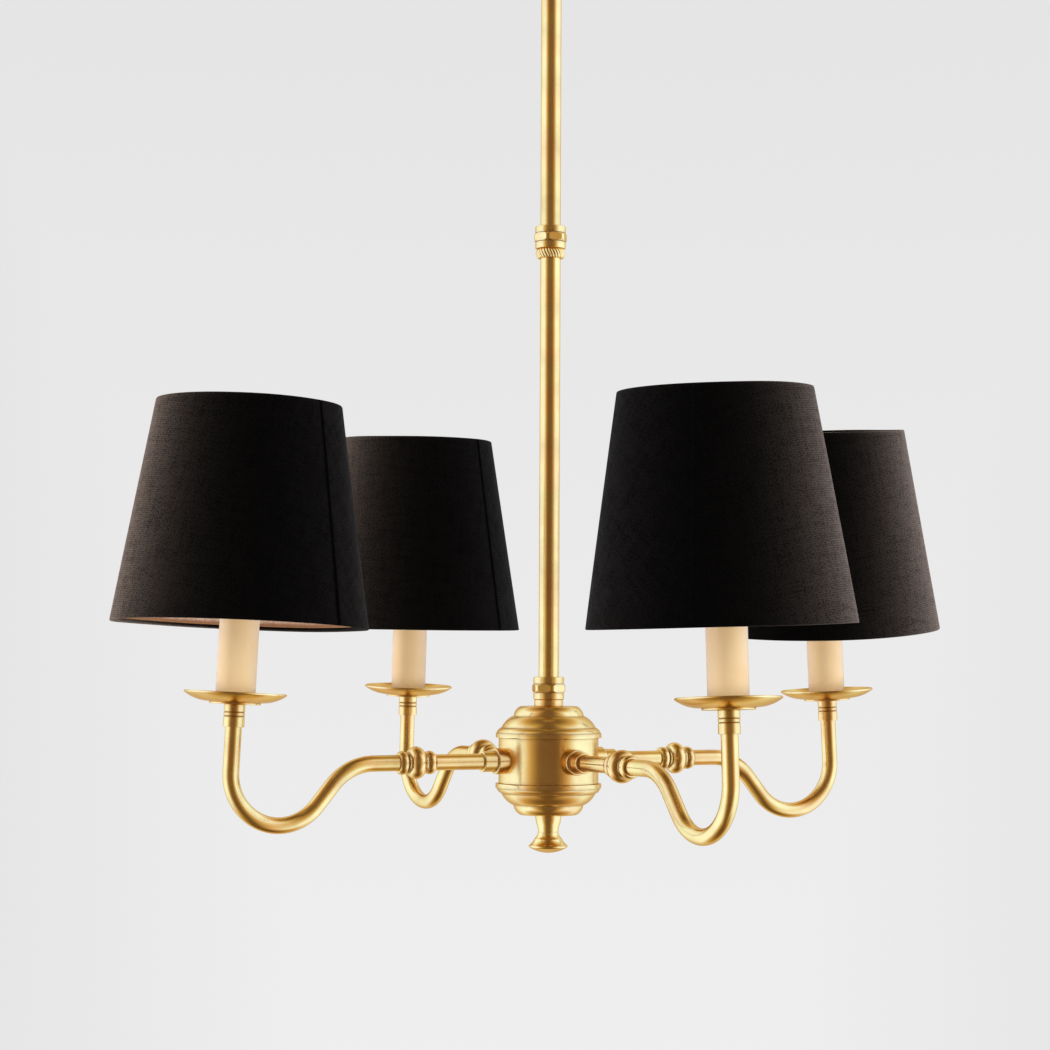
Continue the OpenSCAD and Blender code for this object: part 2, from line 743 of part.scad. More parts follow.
module neck_ring() {
    bore_r = tie_d / 2 + slip;
    ring_out = neck_ring_d / 2;
    edge = 0.5;
    color("goldenrod") hang() translate([0, 0, crown_z]) turned([
        [bore_r, 0], [ring_out, 0], [ring_out, neck_ring_h - edge],
        [ring_out - edge, neck_ring_h], [bore_r, neck_ring_h],
    ]);
}

module tie_tube() {
    color("darkgoldenrod") hang() difference() {
        pipe(tie_d / 2, tie_d / 2 - tie_wall, slip - crown_z - finial_grip, rod_foot_z + tie_reach);
        along_x() cylinder(d = tie_hole, h = tie_d);
    }
}

module finial() {
    top_r = finial_top_d / 2;
    waist_r = finial_waist_d / 2;
    rim_r = finial_rim_d / 2;
    shoulder = [finial_shoulder_d / 2, -finial_shoulder];
    flare = [waist_r + finial_flare / 2, -(finial_waist + finial_rim) / 2];
    rim_edge = 0.6;
    color("goldenrod") hang() translate([0, 0, -crown_z]) difference() {
        turned(concat(
            [[0, 0]],
            arc([top_r, 0], shoulder, shoulder_bulge),
            arc(shoulder, [waist_r, -finial_waist], -finial_hollow[0]),
            arc([waist_r, -finial_waist], flare, -finial_hollow[1]),
            arc(flare, [rim_r - rim_edge, rim_edge - finial_rim], -finial_hollow[2]),
            [[rim_r, -finial_rim], [rim_r, -finial_rim - rim_edge]],
            arc([rim_r - rim_edge, -finial_rim - 2 * rim_edge], [0, -finial_h], finial_bulge)
        ));
        translate([0, 0, -finial_grip]) cylinder(r = tie_d / 2 + slip, h = finial_grip + cut_margin);
    }
}

// Arms

// The straight lengths run a little way into the bends, which are fatter by the swell
module arm_path(radius, overrun) {
    arm_top = pan_floor + holder_base - cut_margin;
    translate([arm_start - overrun, 0, 0]) along_x()
        cylinder(r = radius, h = straight_end - arm_start + overrun + bend_lap);
    translate([straight_end, 0, -upper_bend]) tube_bend(upper_bend, 90 - arm_slope, arm_slope, radius);
    translate([slope_top[0], 0, slope_top[1]]) rotate([0, 90 + arm_slope, 0])
        translate([0, 0, -bend_lap]) cylinder(r = radius, h = slope_run + 2 * bend_lap);
    translate([low_centre[0], 0, low_centre[1]])
        tube_bend(lower_bend, 270 - arm_slope, arm_slope + 90 + candle_lean, radius);
    translate([arm_reach, 0, arm_rise]) rotate([0, -candle_lean, 0])
        translate([0, 0, -stem_run - bend_lap])
            cylinder(r = radius, h = stem_run + bend_lap + arm_top + overrun);
}

module tube_bend(bend, start, sweep, radius) {
    rotate([90, 0, 0]) rotate([0, 0, start]) rotate_extrude(angle = sweep)
        translate([bend, 0]) circle(r = radius + bend_swell);
}

module arm(k) {
    color("goldenrod") at_arm(k) difference() {
        arm_path(tube_r, 0);
        arm_path(tube_in, cut_margin);
    }
}

module knuckle(k) {
    bore_r = tube_r + slip;
    ball_x = knuckle_ball[1] / 2;
    bead_x = ball_x + knuckle_bead[1];
    ring_x = bead_x + knuckle_ring[1];
    ball_root = knuckle_bead[0] / 2;
    ball_rise = knuckle_ball[0] / 2 - ball_root;
    ring_root = bore_r + knuckle_root;
    ring_rise = knuckle_ring[0] / 2 - ring_root;
    color("goldenrod") at_arm(k) translate([knuckle_at, 0, 0]) along_x() turned(concat(
        [[bore_r, -ring_x]],
        arc([ring_root, -ring_x], [ring_root, -bead_x], -ring_rise),
        [[ball_root, -bead_x]],
        arc([ball_root, -ball_x], [ball_root, ball_x], -ball_rise),
        [[ball_root, bead_x]],
        arc([ring_root, bead_x], [ring_root, ring_x], -ring_rise),
        [[bore_r, ring_x]]
    ));
}

module arm_ferrules() {
    bore_r = tube_r + slip;
    flange_r = ferrule_flange[0] / 2;
    sleeve_r = ferrule_sleeve[0] / 2;
    flange_x = shell_r + ferrule_flange[1];
    sleeve_x = flange_x + ferrule_sleeve[1];
    edge = 0.5;
    color("goldenrod") hang() for (k = [0:arm_count - 1]) rotate([0, 0, arm_angle(k)])
        difference() {
            along_x() turned([
                [bore_r, shell_in], [flange_r, shell_in],
                [flange_r, flange_x - edge], [flange_r - edge, flange_x],
                [sleeve_r, flange_x], [sleeve_r, sleeve_x - edge],
                [sleeve_r - edge, sleeve_x], [bore_r, sleeve_x],
            ]);
            translate([0, 0, -shell_h]) cylinder(r = shell_r + slip, h = 2 * shell_h);
        }
}

module lock_nuts() {
    color("darkgoldenrod") hang() for (k = [0:arm_count - 1]) rotate([0, 0, arm_angle(k)])
        translate([lock_nut_face - lock_nut_h, 0, 0]) along_x()
            hex_nut(lock_nut_flats, tube_r + slip, lock_nut_h);
}

module tip_collars() {
    bore_r = tube_r + slip;
    collar_r = tip_d / 2;
    groove = tip_groove;
    edge = 0.4;
    high = tip_bead / 2 - tip_bead_at;
    low = -tip_bead / 2 - tip_bead_at;
    color("goldenrod") for (k = [0:arm_count - 1]) at_light(k) turned([
        [bore_r, 0], [collar_r, 0],
        [collar_r, high + groove], [collar_r - groove, high], [collar_r, high - groove],
        [collar_r, low + groove], [collar_r - groove, low], [collar_r, low - groove],
        [collar_r, edge - tip_h], [collar_r - edge, -tip_h], [bore_r, -tip_h],
    ]);
}

// Candles

module drip_pan(k) {
    hole_r = tube_r + slip;
    foot_r = pan_foot_d / 2;
    rim_r = pan_d / 2;
    dish_r = foot_r - pan_ledge;
    under = arc([dish_r, pan_foot_h], [rim_r, pan_h - pan_wall], -pan_bulge);
    color("goldenrod") at_light(k) turned(concat(
        [[hole_r, 0], [foot_r, 0], [foot_r, pan_foot_h]],
        under,
        reversed(shifted(under, [-pan_wall / 2, pan_wall])),
        [[hole_r, pan_floor]]
    ));
}

module candle_tube(k) {
    color("blanchedalmond") at_light(k)
        pipe(candle_d / 2, candle_d / 2 - candle_wall, pan_floor, candle_top);
}

module lampholder(k) {
    base_top = pan_floor + holder_base;
    floor_top = cap_foot - move_gap;
    floor_low = floor_top - holder_floor;
    hollow_r = holder_r - holder_wall;
    contact_r = contact_hole / 2;
    color("ivory") at_light(k) turned([
        [tube_r + slip, pan_floor], [holder_r, pan_floor], [holder_r, holder_top],
        [socket_in, holder_top], [socket_in, floor_top],
        [contact_r, floor_top], [contact_r, floor_low],
        [hollow_r, floor_low], [hollow_r, base_top], [tube_r + slip, base_top],
    ]);
}

module bulb_cap(k) {
    shell_cap_r = cap_d / 2;
    color("gainsboro") at_light(k) turned([
        [0, cap_foot], [shell_cap_r - cap_slope[0], cap_foot], [shell_cap_r, cap_foot + cap_slope[1]],
        [shell_cap_r, cap_z - cap_flange_h], [cap_flange_d / 2, cap_z - cap_flange_h],
        [cap_flange_d / 2, cap_z], [0, cap_z],
    ]);
}

module bulb_glass(k) {
    low = [for (i = [0:arc_steps - 1])
        let (s = bulb_belly * i / arc_steps) [glass_low(s), cap_z + s]];
    high = [for (i = [0:2 * arc_steps])
        let (s = bulb_tip * i / arc_steps / 2) [glass_high(s), belly_z + s]];
    outer = concat(low, high);
    inner = [for (p = outer) [max(p[0] - glass_wall, 0), min(p[1], glass_tip - glass_wall)]];
    color("whitesmoke") at_light(k) turned(concat(
        outer,
        [[0, glass_tip], [0, glass_tip - glass_wall]],
        reversed(inner)
    ));
}

// Shades

// Lined linen, turned in at both edges, with a lap seam, and rolled round a wire at the bottom
module shade(k) {
    low_r = shade_bottom_d / 2;
    seam_top = shade_h - seam_inset;
    hem_top = shade_h - hem_h;
    color("black") at_shade(k) union() {
        turned([
            [low_r, 0], [shade_top_d / 2, shade_h], [shade_in(shade_h) - hem_wall, shade_h],
            [shade_in(hem_top) - hem_wall, hem_top], [shade_in(hem_top), hem_top],
            [shade_in(hem_h), hem_h], [shade_in(hem_h) - hem_wall, hem_h], [shade_in(0) - hem_wall, 0],
        ]);
        rotate([0, 0, seam_turn[k] - seam_width / 2]) rotate_extrude(angle = seam_width) polygon([
            [shade_in(seam_inset) + shade_wall / 2, seam_inset],
            [shade_in(seam_inset) + shade_wall + seam_proud, seam_inset],
            [shade_in(seam_top) + shade_wall + seam_proud, seam_top],
            [shade_in(seam_top) + shade_wall / 2, seam_top],
        ]);
        wire_ring(shade_in(ring_inset) - hem_wall / 2 - ring_wire / 2, ring_wire, ring_inset);
    }
}

module shade_frame(k) {
    top_z = shade_h - ring_inset;
    color("tan") {
        at_shade(k) {
            wire_ring(ring_r(top_z), ring_wire, top_z);
            wire_ring(hub_d / 2, ring_wire, hub_z);
        }
        at_light(k) wire_ring(hoop_r, ring_wire, belly_z + hoop_at);
        at_arm(k) for (i = [0:spokes - 1]) {
            spoke = spoke_turn - arm_angle(k) + 360 * i / spokes;
            leg = spoke + 180 / spokes;
            wire(shade_point(k, ring_point(hub_d / 2, spoke, hub_z)),
                shade_point(k, ring_point(ring_r(top_z), spoke, top_z)), spoke_wire);
            wire(light_point(ring_point(hoop_r, leg, belly_z + hoop_at)),
                shade_point(k, ring_point(hub_d / 2, leg, hub_z)), spoke_wire);
        }
    }
}

ceiling_bracket();
bracket_nut();
terminal_block();
canopy();
canopy_nut();
swivel_fork();
swivel_pin();
swivel_tongue();
upper_rod();
rod_coupler();
rod_rope_ring();
rod_nipple();
lower_rod();
neck_coupler();
neck_ring();
body_top_cover();
body_shell();
body_bottom_cover();
tie_tube();
finial();
arm_ferrules();
lock_nuts();
tip_collars();
for (k = [0:arm_count - 1]) {
    arm(k);
    knuckle(k);
    drip_pan(k);
    candle_tube(k);
    lampholder(k);
    bulb_cap(k);
    bulb_glass(k);
    shade(k);
    shade_frame(k);
}
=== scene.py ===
import math

import bmesh
import bpy
import numpy as np
from mathutils import Matrix, Vector


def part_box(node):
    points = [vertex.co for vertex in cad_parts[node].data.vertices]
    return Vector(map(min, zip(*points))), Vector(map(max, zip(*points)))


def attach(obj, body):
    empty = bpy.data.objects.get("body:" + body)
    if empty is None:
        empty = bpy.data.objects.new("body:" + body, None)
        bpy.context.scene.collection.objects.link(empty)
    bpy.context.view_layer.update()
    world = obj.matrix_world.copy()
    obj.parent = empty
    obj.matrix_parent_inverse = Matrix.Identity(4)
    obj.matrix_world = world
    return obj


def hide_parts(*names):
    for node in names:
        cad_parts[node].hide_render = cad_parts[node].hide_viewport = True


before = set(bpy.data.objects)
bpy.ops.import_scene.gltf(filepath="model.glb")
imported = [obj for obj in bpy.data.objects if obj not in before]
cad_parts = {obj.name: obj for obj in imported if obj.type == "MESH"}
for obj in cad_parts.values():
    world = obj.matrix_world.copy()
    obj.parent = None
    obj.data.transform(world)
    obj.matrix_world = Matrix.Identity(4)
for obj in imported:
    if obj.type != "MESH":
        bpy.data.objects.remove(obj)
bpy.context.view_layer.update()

# where things hang, in millimetres and degrees as in the CAD
layout = {
    "ceilingDrop": 580.0,
    "armAngles": (-61.5, 28.0, 118.0, 208.0),
    "armReach": 213.0,
    "armRise": 37.0,
    "candleLean": 3.0,
    "shadeLift": 47.4,
    "shadeLean": (0.0, 4.0, 1.0, 2.5),
    "shadeTip": (-2.0, -4.0, 0.0, -1.0),
    "shadeShift": (-3.3, 0.0, 0.0, 0.0),
}
lights = range(4)
millimetre, squareMillimetre = 0.001, 1e-6  # in metres
metre = 1000.0  # in millimetres


def turn(degrees, axis):
    return Matrix.Rotation(math.radians(degrees), 4, axis)


def shift(x, y, z):
    return Matrix.Translation((x, y, z))


hang = shift(0, 0, -layout["ceilingDrop"])
alongArm = turn(90, "Y")  # lays a turned piece along the arm


def armPlace(k):
    return hang @ turn(layout["armAngles"][k], "Z")


def lightPlace(k):
    tip = shift(layout["armReach"], 0, layout["armRise"])
    return armPlace(k) @ tip @ turn(-layout["candleLean"], "Y")


def shadePlace(k):
    onCandle = Vector((0, layout["shadeShift"][k], layout["shadeLift"]))
    foot = armPlace(k).inverted() @ lightPlace(k) @ onCandle
    lean = turn(-layout["shadeLean"][k], "Y") @ turn(-layout["shadeTip"][k], "X")
    return armPlace(k) @ Matrix.Translation(foot) @ lean


# node tree helpers
def addNode(tree, kind, values=None, **settings):
    node = tree.nodes.new(kind)
    for name, value in settings.items():
        setattr(node, name, value)
    for key, value in (values or {}).items():
        if isinstance(value, bpy.types.NodeSocket):
            tree.links.new(value, node.inputs[key])
        else:
            node.inputs[key].default_value = value
    return node


def mathNode(tree, operation, a, b=0.0, clamp=False):
    node = addNode(tree, "ShaderNodeMath", {0: a, 1: b}, operation=operation, use_clamp=clamp)
    return node.outputs[0]


def times(tree, a, b):
    return mathNode(tree, "MULTIPLY", a, b)


def plus(tree, a, b):
    return mathNode(tree, "ADD", a, b)


def mixColours(tree, share, a, b):
    return addNode(tree, "ShaderNodeMix", {0: share, 6: a, 7: b}, data_type="RGBA").outputs[2]


def mixValues(tree, share, a, b):
    return addNode(tree, "ShaderNodeMix", {0: share, 2: a, 3: b}).outputs[0]


def remap(tree, value, fromLow, fromHigh, toLow, toHigh):
    spans = {0: value, 1: fromLow, 2: fromHigh, 3: toLow, 4: toHigh}
    return addNode(tree, "ShaderNodeMapRange", spans).outputs[0]


def noise(tree, place, scale, detail, roughness=0.5):
    values = {"Vector": place, "Scale": scale, "Detail": detail, "Roughness": roughness}
    return addNode(tree, "ShaderNodeTexNoise", values).outputs[0]


def painted(tree, mark):
    return addNode(tree, "ShaderNodeAttribute", attribute_name=mark).outputs["Fac"]


socketKinds = {tuple: "NodeSocketColor", float: "NodeSocketFloat"}


def newGroup(name, inputs, outputs):
    tree = bpy.data.node_groups.new(name, "ShaderNodeTree")
    for side, sockets in (("INPUT", inputs), ("OUTPUT", outputs)):
        for label, value in sockets.items():
            kind = socketKinds[type(value)]
            tree.interface.new_socket(label, in_out=side, socket_type=kind).default_value = value
    return tree, addNode(tree, "NodeGroupInput").outputs


surface = {"Color": (0.0, 0.0, 0.0, 1), "Roughness": 0.5, "Height": 0.0}  # what every group puts out
markNames = ("crevice", "edge", "along")  # painted on every mesh; on cloth, along holds the painted side light

# noises are scale, detail and roughness; spans are a remap's two ranges
metalLook = {
    "drift": (45.0, 2.0), "driftSpan": (0.36, 0.66, 0.0, 0.7),
    "blotch": (38.0, 4.0, 0.55), "blotchSpan": (0.4, 0.75, 0.0, 1.0),
    "speck": (420.0, 2.0), "grimeSpan": (0.3, 0.62, 0.7, 1.0),
    "speckRoughness": (0.3, 0.7, -0.015, 0.02), "darkRoughness": 0.2, "polishSmoothness": 0.06,
    "lines": {"Scale": 2.6, "Detail": 3.0, "Roughness": 0.7},
    "polishTone": (1.0, 0.93, 0.75, 1), "toneShare": 0.35, "polishShare": 0.35,
}


def buildMetalAge():
    # a drift of hue, patina in the corners, polish on the edges, lathe lines round turned pieces
    m = metalLook
    tree, given = newGroup("metalAge", {
        "Bright": (0.8, 0.5, 0.15, 1), "Warm": (0.8, 0.42, 0.12, 1), "Deep": (0.3, 0.15, 0.03, 1),
        "Base Roughness": 0.25, "Patina": 0.4, "Lathe Lines": 0.5,
    }, surface)
    place = addNode(tree, "ShaderNodeTexCoord").outputs["Object"]
    crevice, edge, along = [painted(tree, mark) for mark in markNames]
    blotch, speck, drift = [noise(tree, place, *m[name]) for name in ("blotch", "speck", "drift")]
    lines = addNode(tree, "ShaderNodeTexNoise", {"W": along, **m["lines"]}, noise_dimensions="1D")
    cloudy = times(tree, remap(tree, blotch, *m["blotchSpan"]), given["Patina"])
    grime = times(tree, crevice, remap(tree, speck, *m["grimeSpan"]))
    dark = mathNode(tree, "MAXIMUM", cloudy, grime, clamp=True)
    tone = mixColours(tree, remap(tree, drift, *m["driftSpan"]), given["Bright"], given["Warm"])
    patinaAndSideLight = mixColours(tree, dark, tone, given["Deep"])
    light = mixColours(tree, m["toneShare"], given["Bright"], m["polishTone"])
    rough = plus(tree, given["Base Roughness"], times(tree, dark, m["darkRoughness"]))
    rough = plus(tree, rough, remap(tree, speck, *m["speckRoughness"]))
    smoother = times(tree, edge, m["polishSmoothness"])
    addNode(tree, "NodeGroupOutput", {
        "Color": mixColours(tree, times(tree, edge, m["polishShare"]), patinaAndSideLight, light),
        "Roughness": mathNode(tree, "SUBTRACT", rough, smoother, clamp=True),
        "Height": times(tree, lines.outputs[0], given["Lathe Lines"]),
    })
    return tree


weaveLook = {
    "slub": (1.0, 2.0), "slubSpan": (0.3, 0.72, 0.0, 1.0),
    "slubRun": 55.0, "slubStep": 0.37, "slubApart": 7.0,  # along a thread, to the next, between the sets
    "countFrom": 20000.0, "overHeight": 0.6, "overSpan": (0.1, 0.9, 0.25, 1.0),
    "swellSpan": (0.0, 0.5, 0.55, 1.3), "roughSpan": (0.0, 0.6, 0.92, 0.72),
    "grain": (760.0, 2.0), "grainSpan": (0.34, 0.66, 0.5, 1.5), "rimHighlight": 0.4,
    "creviceSpan": (0.0, 1.0, 1.0, 0.05), "sideLightPower": 2.0, "sheenLeast": 0.12, "sheenOnLitSide": 0.88,
}


def buildClothWeave():
    # plain weave of slubby threads, laid out on the flat cut of the cloth
    w = weaveLook
    tree, given = newGroup("clothWeave", {
        "Thread": (0.02, 0.02, 0.02, 1), "Shadow": (0.004, 0.004, 0.004, 1), "Sheen Tone": (0.1, 0.1, 0.1, 1),
        "Threads Per Metre": 1500.0, "Slub": 0.5, "Painted Side Light": 0.0,
    }, {**surface, "Sheen Tone": surface["Color"]})
    cut = addNode(tree, "ShaderNodeUVMap", uv_map="cut").outputs[0]
    axes = addNode(tree, "ShaderNodeSeparateXYZ", {0: cut}).outputs
    crevice, edge, litSide = [painted(tree, mark) for mark in markNames]
    waves, steps, slubs = [], [], []
    for own, other in ((0, 1), (1, 0)):
        # one set of threads: narrow across itself, with thick and thin places along its length
        across = times(tree, axes[own], given["Threads Per Metre"])
        step = mathNode(tree, "FLOOR", across)
        spot = addNode(tree, "ShaderNodeCombineXYZ", {
            0: times(tree, step, w["slubStep"]),
            1: times(tree, axes[other], w["slubRun"]),
            2: own * w["slubApart"],
        }).outputs[0]
        wave = mathNode(tree, "SINE", times(tree, across, math.pi))
        waves.append(mathNode(tree, "ABSOLUTE", wave))
        steps.append(step)
        slubs.append(remap(tree, noise(tree, spot, *w["slub"]), *w["slubSpan"]))
    crossing = plus(tree, steps[0], plus(tree, steps[1], w["countFrom"]))
    parity = mathNode(tree, "MODULO", crossing, 2.0)  # which set lies on top
    over = mixValues(tree, parity, *waves)
    swell = times(tree, mixValues(tree, parity, *slubs), given["Slub"])
    lit = times(tree, remap(tree, over, *w["overSpan"]), remap(tree, swell, *w["swellSpan"]))
    lit = times(tree, lit, remap(tree, noise(tree, cut, *w["grain"]), *w["grainSpan"]))
    # painted highlight along the top and bottom rims of the linen
    lit = plus(tree, lit, times(tree, edge, w["rimHighlight"]))
    lit = mathNode(tree, "MULTIPLY", lit, remap(tree, crevice, *w["creviceSpan"]), clamp=True)
    dyed = mixColours(tree, lit, given["Shadow"], given["Thread"])
    # painted side light: the linen is paler on the side where the side lamps fall, and its painted sheen is
    # stronger there
    sideLightMask = mathNode(tree, "POWER", litSide, w["sideLightPower"])
    patinaAndSideLight = times(tree, times(tree, lit, given["Painted Side Light"]), sideLightMask)
    paler = times(tree, lit, plus(tree, times(tree, litSide, w["sheenOnLitSide"]), w["sheenLeast"]))
    addNode(tree, "NodeGroupOutput", {
        "Color": mixColours(tree, patinaAndSideLight, dyed, given["Sheen Tone"]),
        "Sheen Tone": mixColours(tree, paler, given["Shadow"], given["Sheen Tone"]),
        "Roughness": remap(tree, swell, *w["roughSpan"]),
        "Height": plus(tree, times(tree, over, w["overHeight"]), swell),
    })
    return tree


grainLook = {
    "cloudDetail": 4.0, "cloudSpan": (0.4, 0.72, 0.0, 0.8), "creviceShare": 0.7,
    "cloudRoughness": (0.35, 0.7, -0.05, 0.07), "pits": (1400.0, 2.0),
}


def buildFineGrain():
    # faint clouding and pitting of moulded plastic, wax card and glass
    g = grainLook
    tree, given = newGroup("fineGrain", {
        "Tone": (0.8, 0.8, 0.8, 1), "Shade": (0.7, 0.7, 0.7, 1), "Base Roughness": 0.4, "Cloud Scale": 60.0,
    }, surface)
    place = addNode(tree, "ShaderNodeTexCoord").outputs["Object"]
    cloud = noise(tree, place, given["Cloud Scale"], g["cloudDetail"])
    dirt = times(tree, painted(tree, "crevice"), g["creviceShare"])
    share = mathNode(tree, "ADD", remap(tree, cloud, *g["cloudSpan"]), dirt, clamp=True)
    addNode(tree, "NodeGroupOutput", {
        "Color": mixColours(tree, share, given["Tone"], given["Shade"]),
        "Roughness": plus(tree, given["Base Roughness"], remap(tree, cloud, *g["cloudRoughness"])),
        "Height": noise(tree, place, *g["pits"]),
    })
    return tree


groups = {"metalAge": buildMetalAge(), "clothWeave": buildClothWeave(), "fineGrain": buildFineGrain()}

# finishes by group: what goes in, the bump's strength and depth, and what is set on the shader itself
metals = {
    "brass": {
        "given": {"Bright": (0.93, 0.68, 0.27, 1), "Warm": (0.92, 0.546, 0.227, 1),
                  "Deep": (0.376, 0.171, 0.043, 1),
                  "Base Roughness": 0.2, "Patina": 0.3, "Lathe Lines": 0.5},
        "bump": (0.03, 0.0004),
        "shader": {"Metallic": 1.0, "Specular Tint": (0.74, 0.58, 0.34, 1), "Coat Weight": 0.15,
                   "Coat Roughness": 0.2, "Coat IOR": 1.4},
    },
    "brassThread": {
        "given": {"Bright": (0.7, 0.46, 0.16, 1), "Warm": (0.68, 0.4, 0.13, 1),
                  "Deep": (0.22, 0.12, 0.03, 1), "Base Roughness": 0.36, "Patina": 0.6, "Lathe Lines": 0.3},
        "bump": (0.1, 0.0004), "shader": {"Metallic": 1.0},
    },
    "platedSteel": {
        "given": {"Bright": (0.66, 0.66, 0.63, 1), "Warm": (0.63, 0.61, 0.56, 1),
                  "Deep": (0.3, 0.29, 0.26, 1), "Base Roughness": 0.34, "Patina": 0.45, "Lathe Lines": 0.2},
        "bump": (0.08, 0.0004), "shader": {"Metallic": 1.0},
    },
    "capMetal": {
        "given": {"Bright": (0.74, 0.73, 0.7, 1), "Warm": (0.71, 0.68, 0.62, 1),
                  "Deep": (0.36, 0.34, 0.3, 1), "Base Roughness": 0.28, "Patina": 0.35, "Lathe Lines": 0.5},
        "bump": (0.08, 0.0004), "shader": {"Metallic": 1.0},
    },
    "brassWire": {
        "given": {"Bright": (0.72, 0.5, 0.2, 1), "Warm": (0.7, 0.44, 0.16, 1),
                  "Deep": (0.3, 0.17, 0.05, 1), "Base Roughness": 0.3, "Patina": 0.4, "Lathe Lines": 0.0},
        "bump": (0.08, 0.0003), "shader": {"Metallic": 1.0},
    },
}
grains = {
    "candleCream": {
        "given": {"Tone": (0.88, 0.65, 0.35, 1), "Shade": (0.85, 0.59, 0.31, 1),
                  "Base Roughness": 0.42, "Cloud Scale": 45.0},
        "bump": (0.04, 0.0004),
        "shader": {"Subsurface Weight": 0.12, "Subsurface Radius": (0.004, 0.002, 0.001),
                   "Subsurface Scale": 1.0, "Specular IOR Level": 0.9, "Sheen Weight": 1.0,
                   "Sheen Roughness": 0.35, "Sheen Tint": (1.0, 0.97, 0.95, 1)},
    },
    "blockPlastic": {
        "given": {"Tone": (0.72, 0.71, 0.67, 1), "Shade": (0.6, 0.58, 0.52, 1),
                  "Base Roughness": 0.45, "Cloud Scale": 80.0},
        "bump": (0.1, 0.0004),
    },
    "holderPlastic": {
        "given": {"Tone": (0.7, 0.64, 0.52, 1), "Shade": (0.55, 0.48, 0.36, 1),
                  "Base Roughness": 0.42, "Cloud Scale": 80.0},
        "bump": (0.1, 0.0004),
    },
    "opalGlass": {
        "given": {"Tone": (0.93, 0.92, 0.88, 1), "Shade": (0.88, 0.86, 0.8, 1),
                  "Base Roughness": 0.22, "Cloud Scale": 40.0},
        "bump": (0.02, 0.0003),
        "shader": {"Transmission Weight": 0.25, "IOR": 1.5},
    },
}
cloths = {
    "blackLinen": {
        "given": {"Thread": (0.0014, 0.0011, 0.001, 1), "Shadow": (0.0003, 0.0003, 0.0003, 1),
                  "Sheen Tone": (0.25, 0.2, 0.177, 1), "Threads Per Metre": 780.0, "Slub": 0.6, "Painted Side Light": 0.05},
        "bump": (0.35, 0.0003), "sheenPower": 1.6,
        "shader": {"Specular IOR Level": 0.03},
    },
    "creamLining": {
        "given": {"Thread": (0.95, 0.78, 0.68, 1), "Shadow": (0.42, 0.22, 0.1, 1),
                  "Threads Per Metre": 1500.0, "Slub": 0.9},
        "bump": (0.15, 0.0003),
        "shader": {"Sheen Weight": 0.1, "Sheen Roughness": 0.5, "Specular IOR Level": 0.2},
    },
}
finishes = {"metalAge": metals, "fineGrain": grains, "clothWeave": cloths}


def buildFinish(name, group, recipe):
    material = bpy.data.materials.new(name)
    material.use_nodes = True
    tree = material.node_tree
    shader = tree.nodes["Principled BSDF"]
    age = addNode(tree, "ShaderNodeGroup", recipe["given"], node_tree=groups[group])
    strength, depth = recipe["bump"]
    relief = {"Strength": strength, "Distance": depth, "Height": age.outputs["Height"]}
    bump = addNode(tree, "ShaderNodeBump", relief)
    colour = age.outputs["Color"]
    if "sheenPower" in recipe:
        # painted sheen: the linen turns paler where it turns away from the view, where its loose fibres
        # catch the light
        facing = addNode(tree, "ShaderNodeLayerWeight", {"Blend": 0.5}).outputs["Facing"]
        share = mathNode(tree, "POWER", facing, recipe["sheenPower"], clamp=True)
        colour = mixColours(tree, share, colour, age.outputs["Sheen Tone"])
    tree.links.new(colour, shader.inputs["Base Color"])
    tree.links.new(age.outputs["Roughness"], shader.inputs["Roughness"])
    tree.links.new(bump.outputs[0], shader.inputs["Normal"])
    for label, value in recipe.get("shader", {}).items():
        shader.inputs[label].default_value = value
    return material


materials = {name: buildFinish(name, group, recipe)
             for group, recipes in finishes.items() for name, recipe in recipes.items()}
print("finishes:", len(materials))


# shapes are dictionaries of points in millimetres, faces and marks
def arcPoints(p, q, bulge, steps=14):
    p, q = np.array(p, float), np.array(q, float)
    chord = np.linalg.norm(q - p)
    along = (q - p) / chord
    side = np.array((-along[1], along[0]))
    radius = ((chord / 2) ** 2 + bulge ** 2) / (2 * bulge)
    centre = (p + q) / 2 + side * (bulge - radius)
    half = math.asin(max(-1.0, min(1.0, chord / 2 / radius)))
    return [tuple(centre + radius * (side * math.cos(a) + along * math.sin(a)))
            for a in np.linspace(-half, half, steps + 1)]


usualSides, largeSides = 96, 128  # of a turned piece
rounding = {
    "fillet": 0.35,  # for corners that bring no radius of their own
    "leastBend": math.radians(14), "mostBend": 2.6, "edgeShare": 0.42, "curve": (0, 0.25, 0.5, 0.75, 1),
    "beside": (0.25, 0.7, 1.5, 3.0, 6.0), "besideShare": 0.45,  # extra points that keep marks near
    "crevice": (1.1, 0.7), "edge": (1.2, 0.45),  # the bend of a full mark, and how far it spreads
}


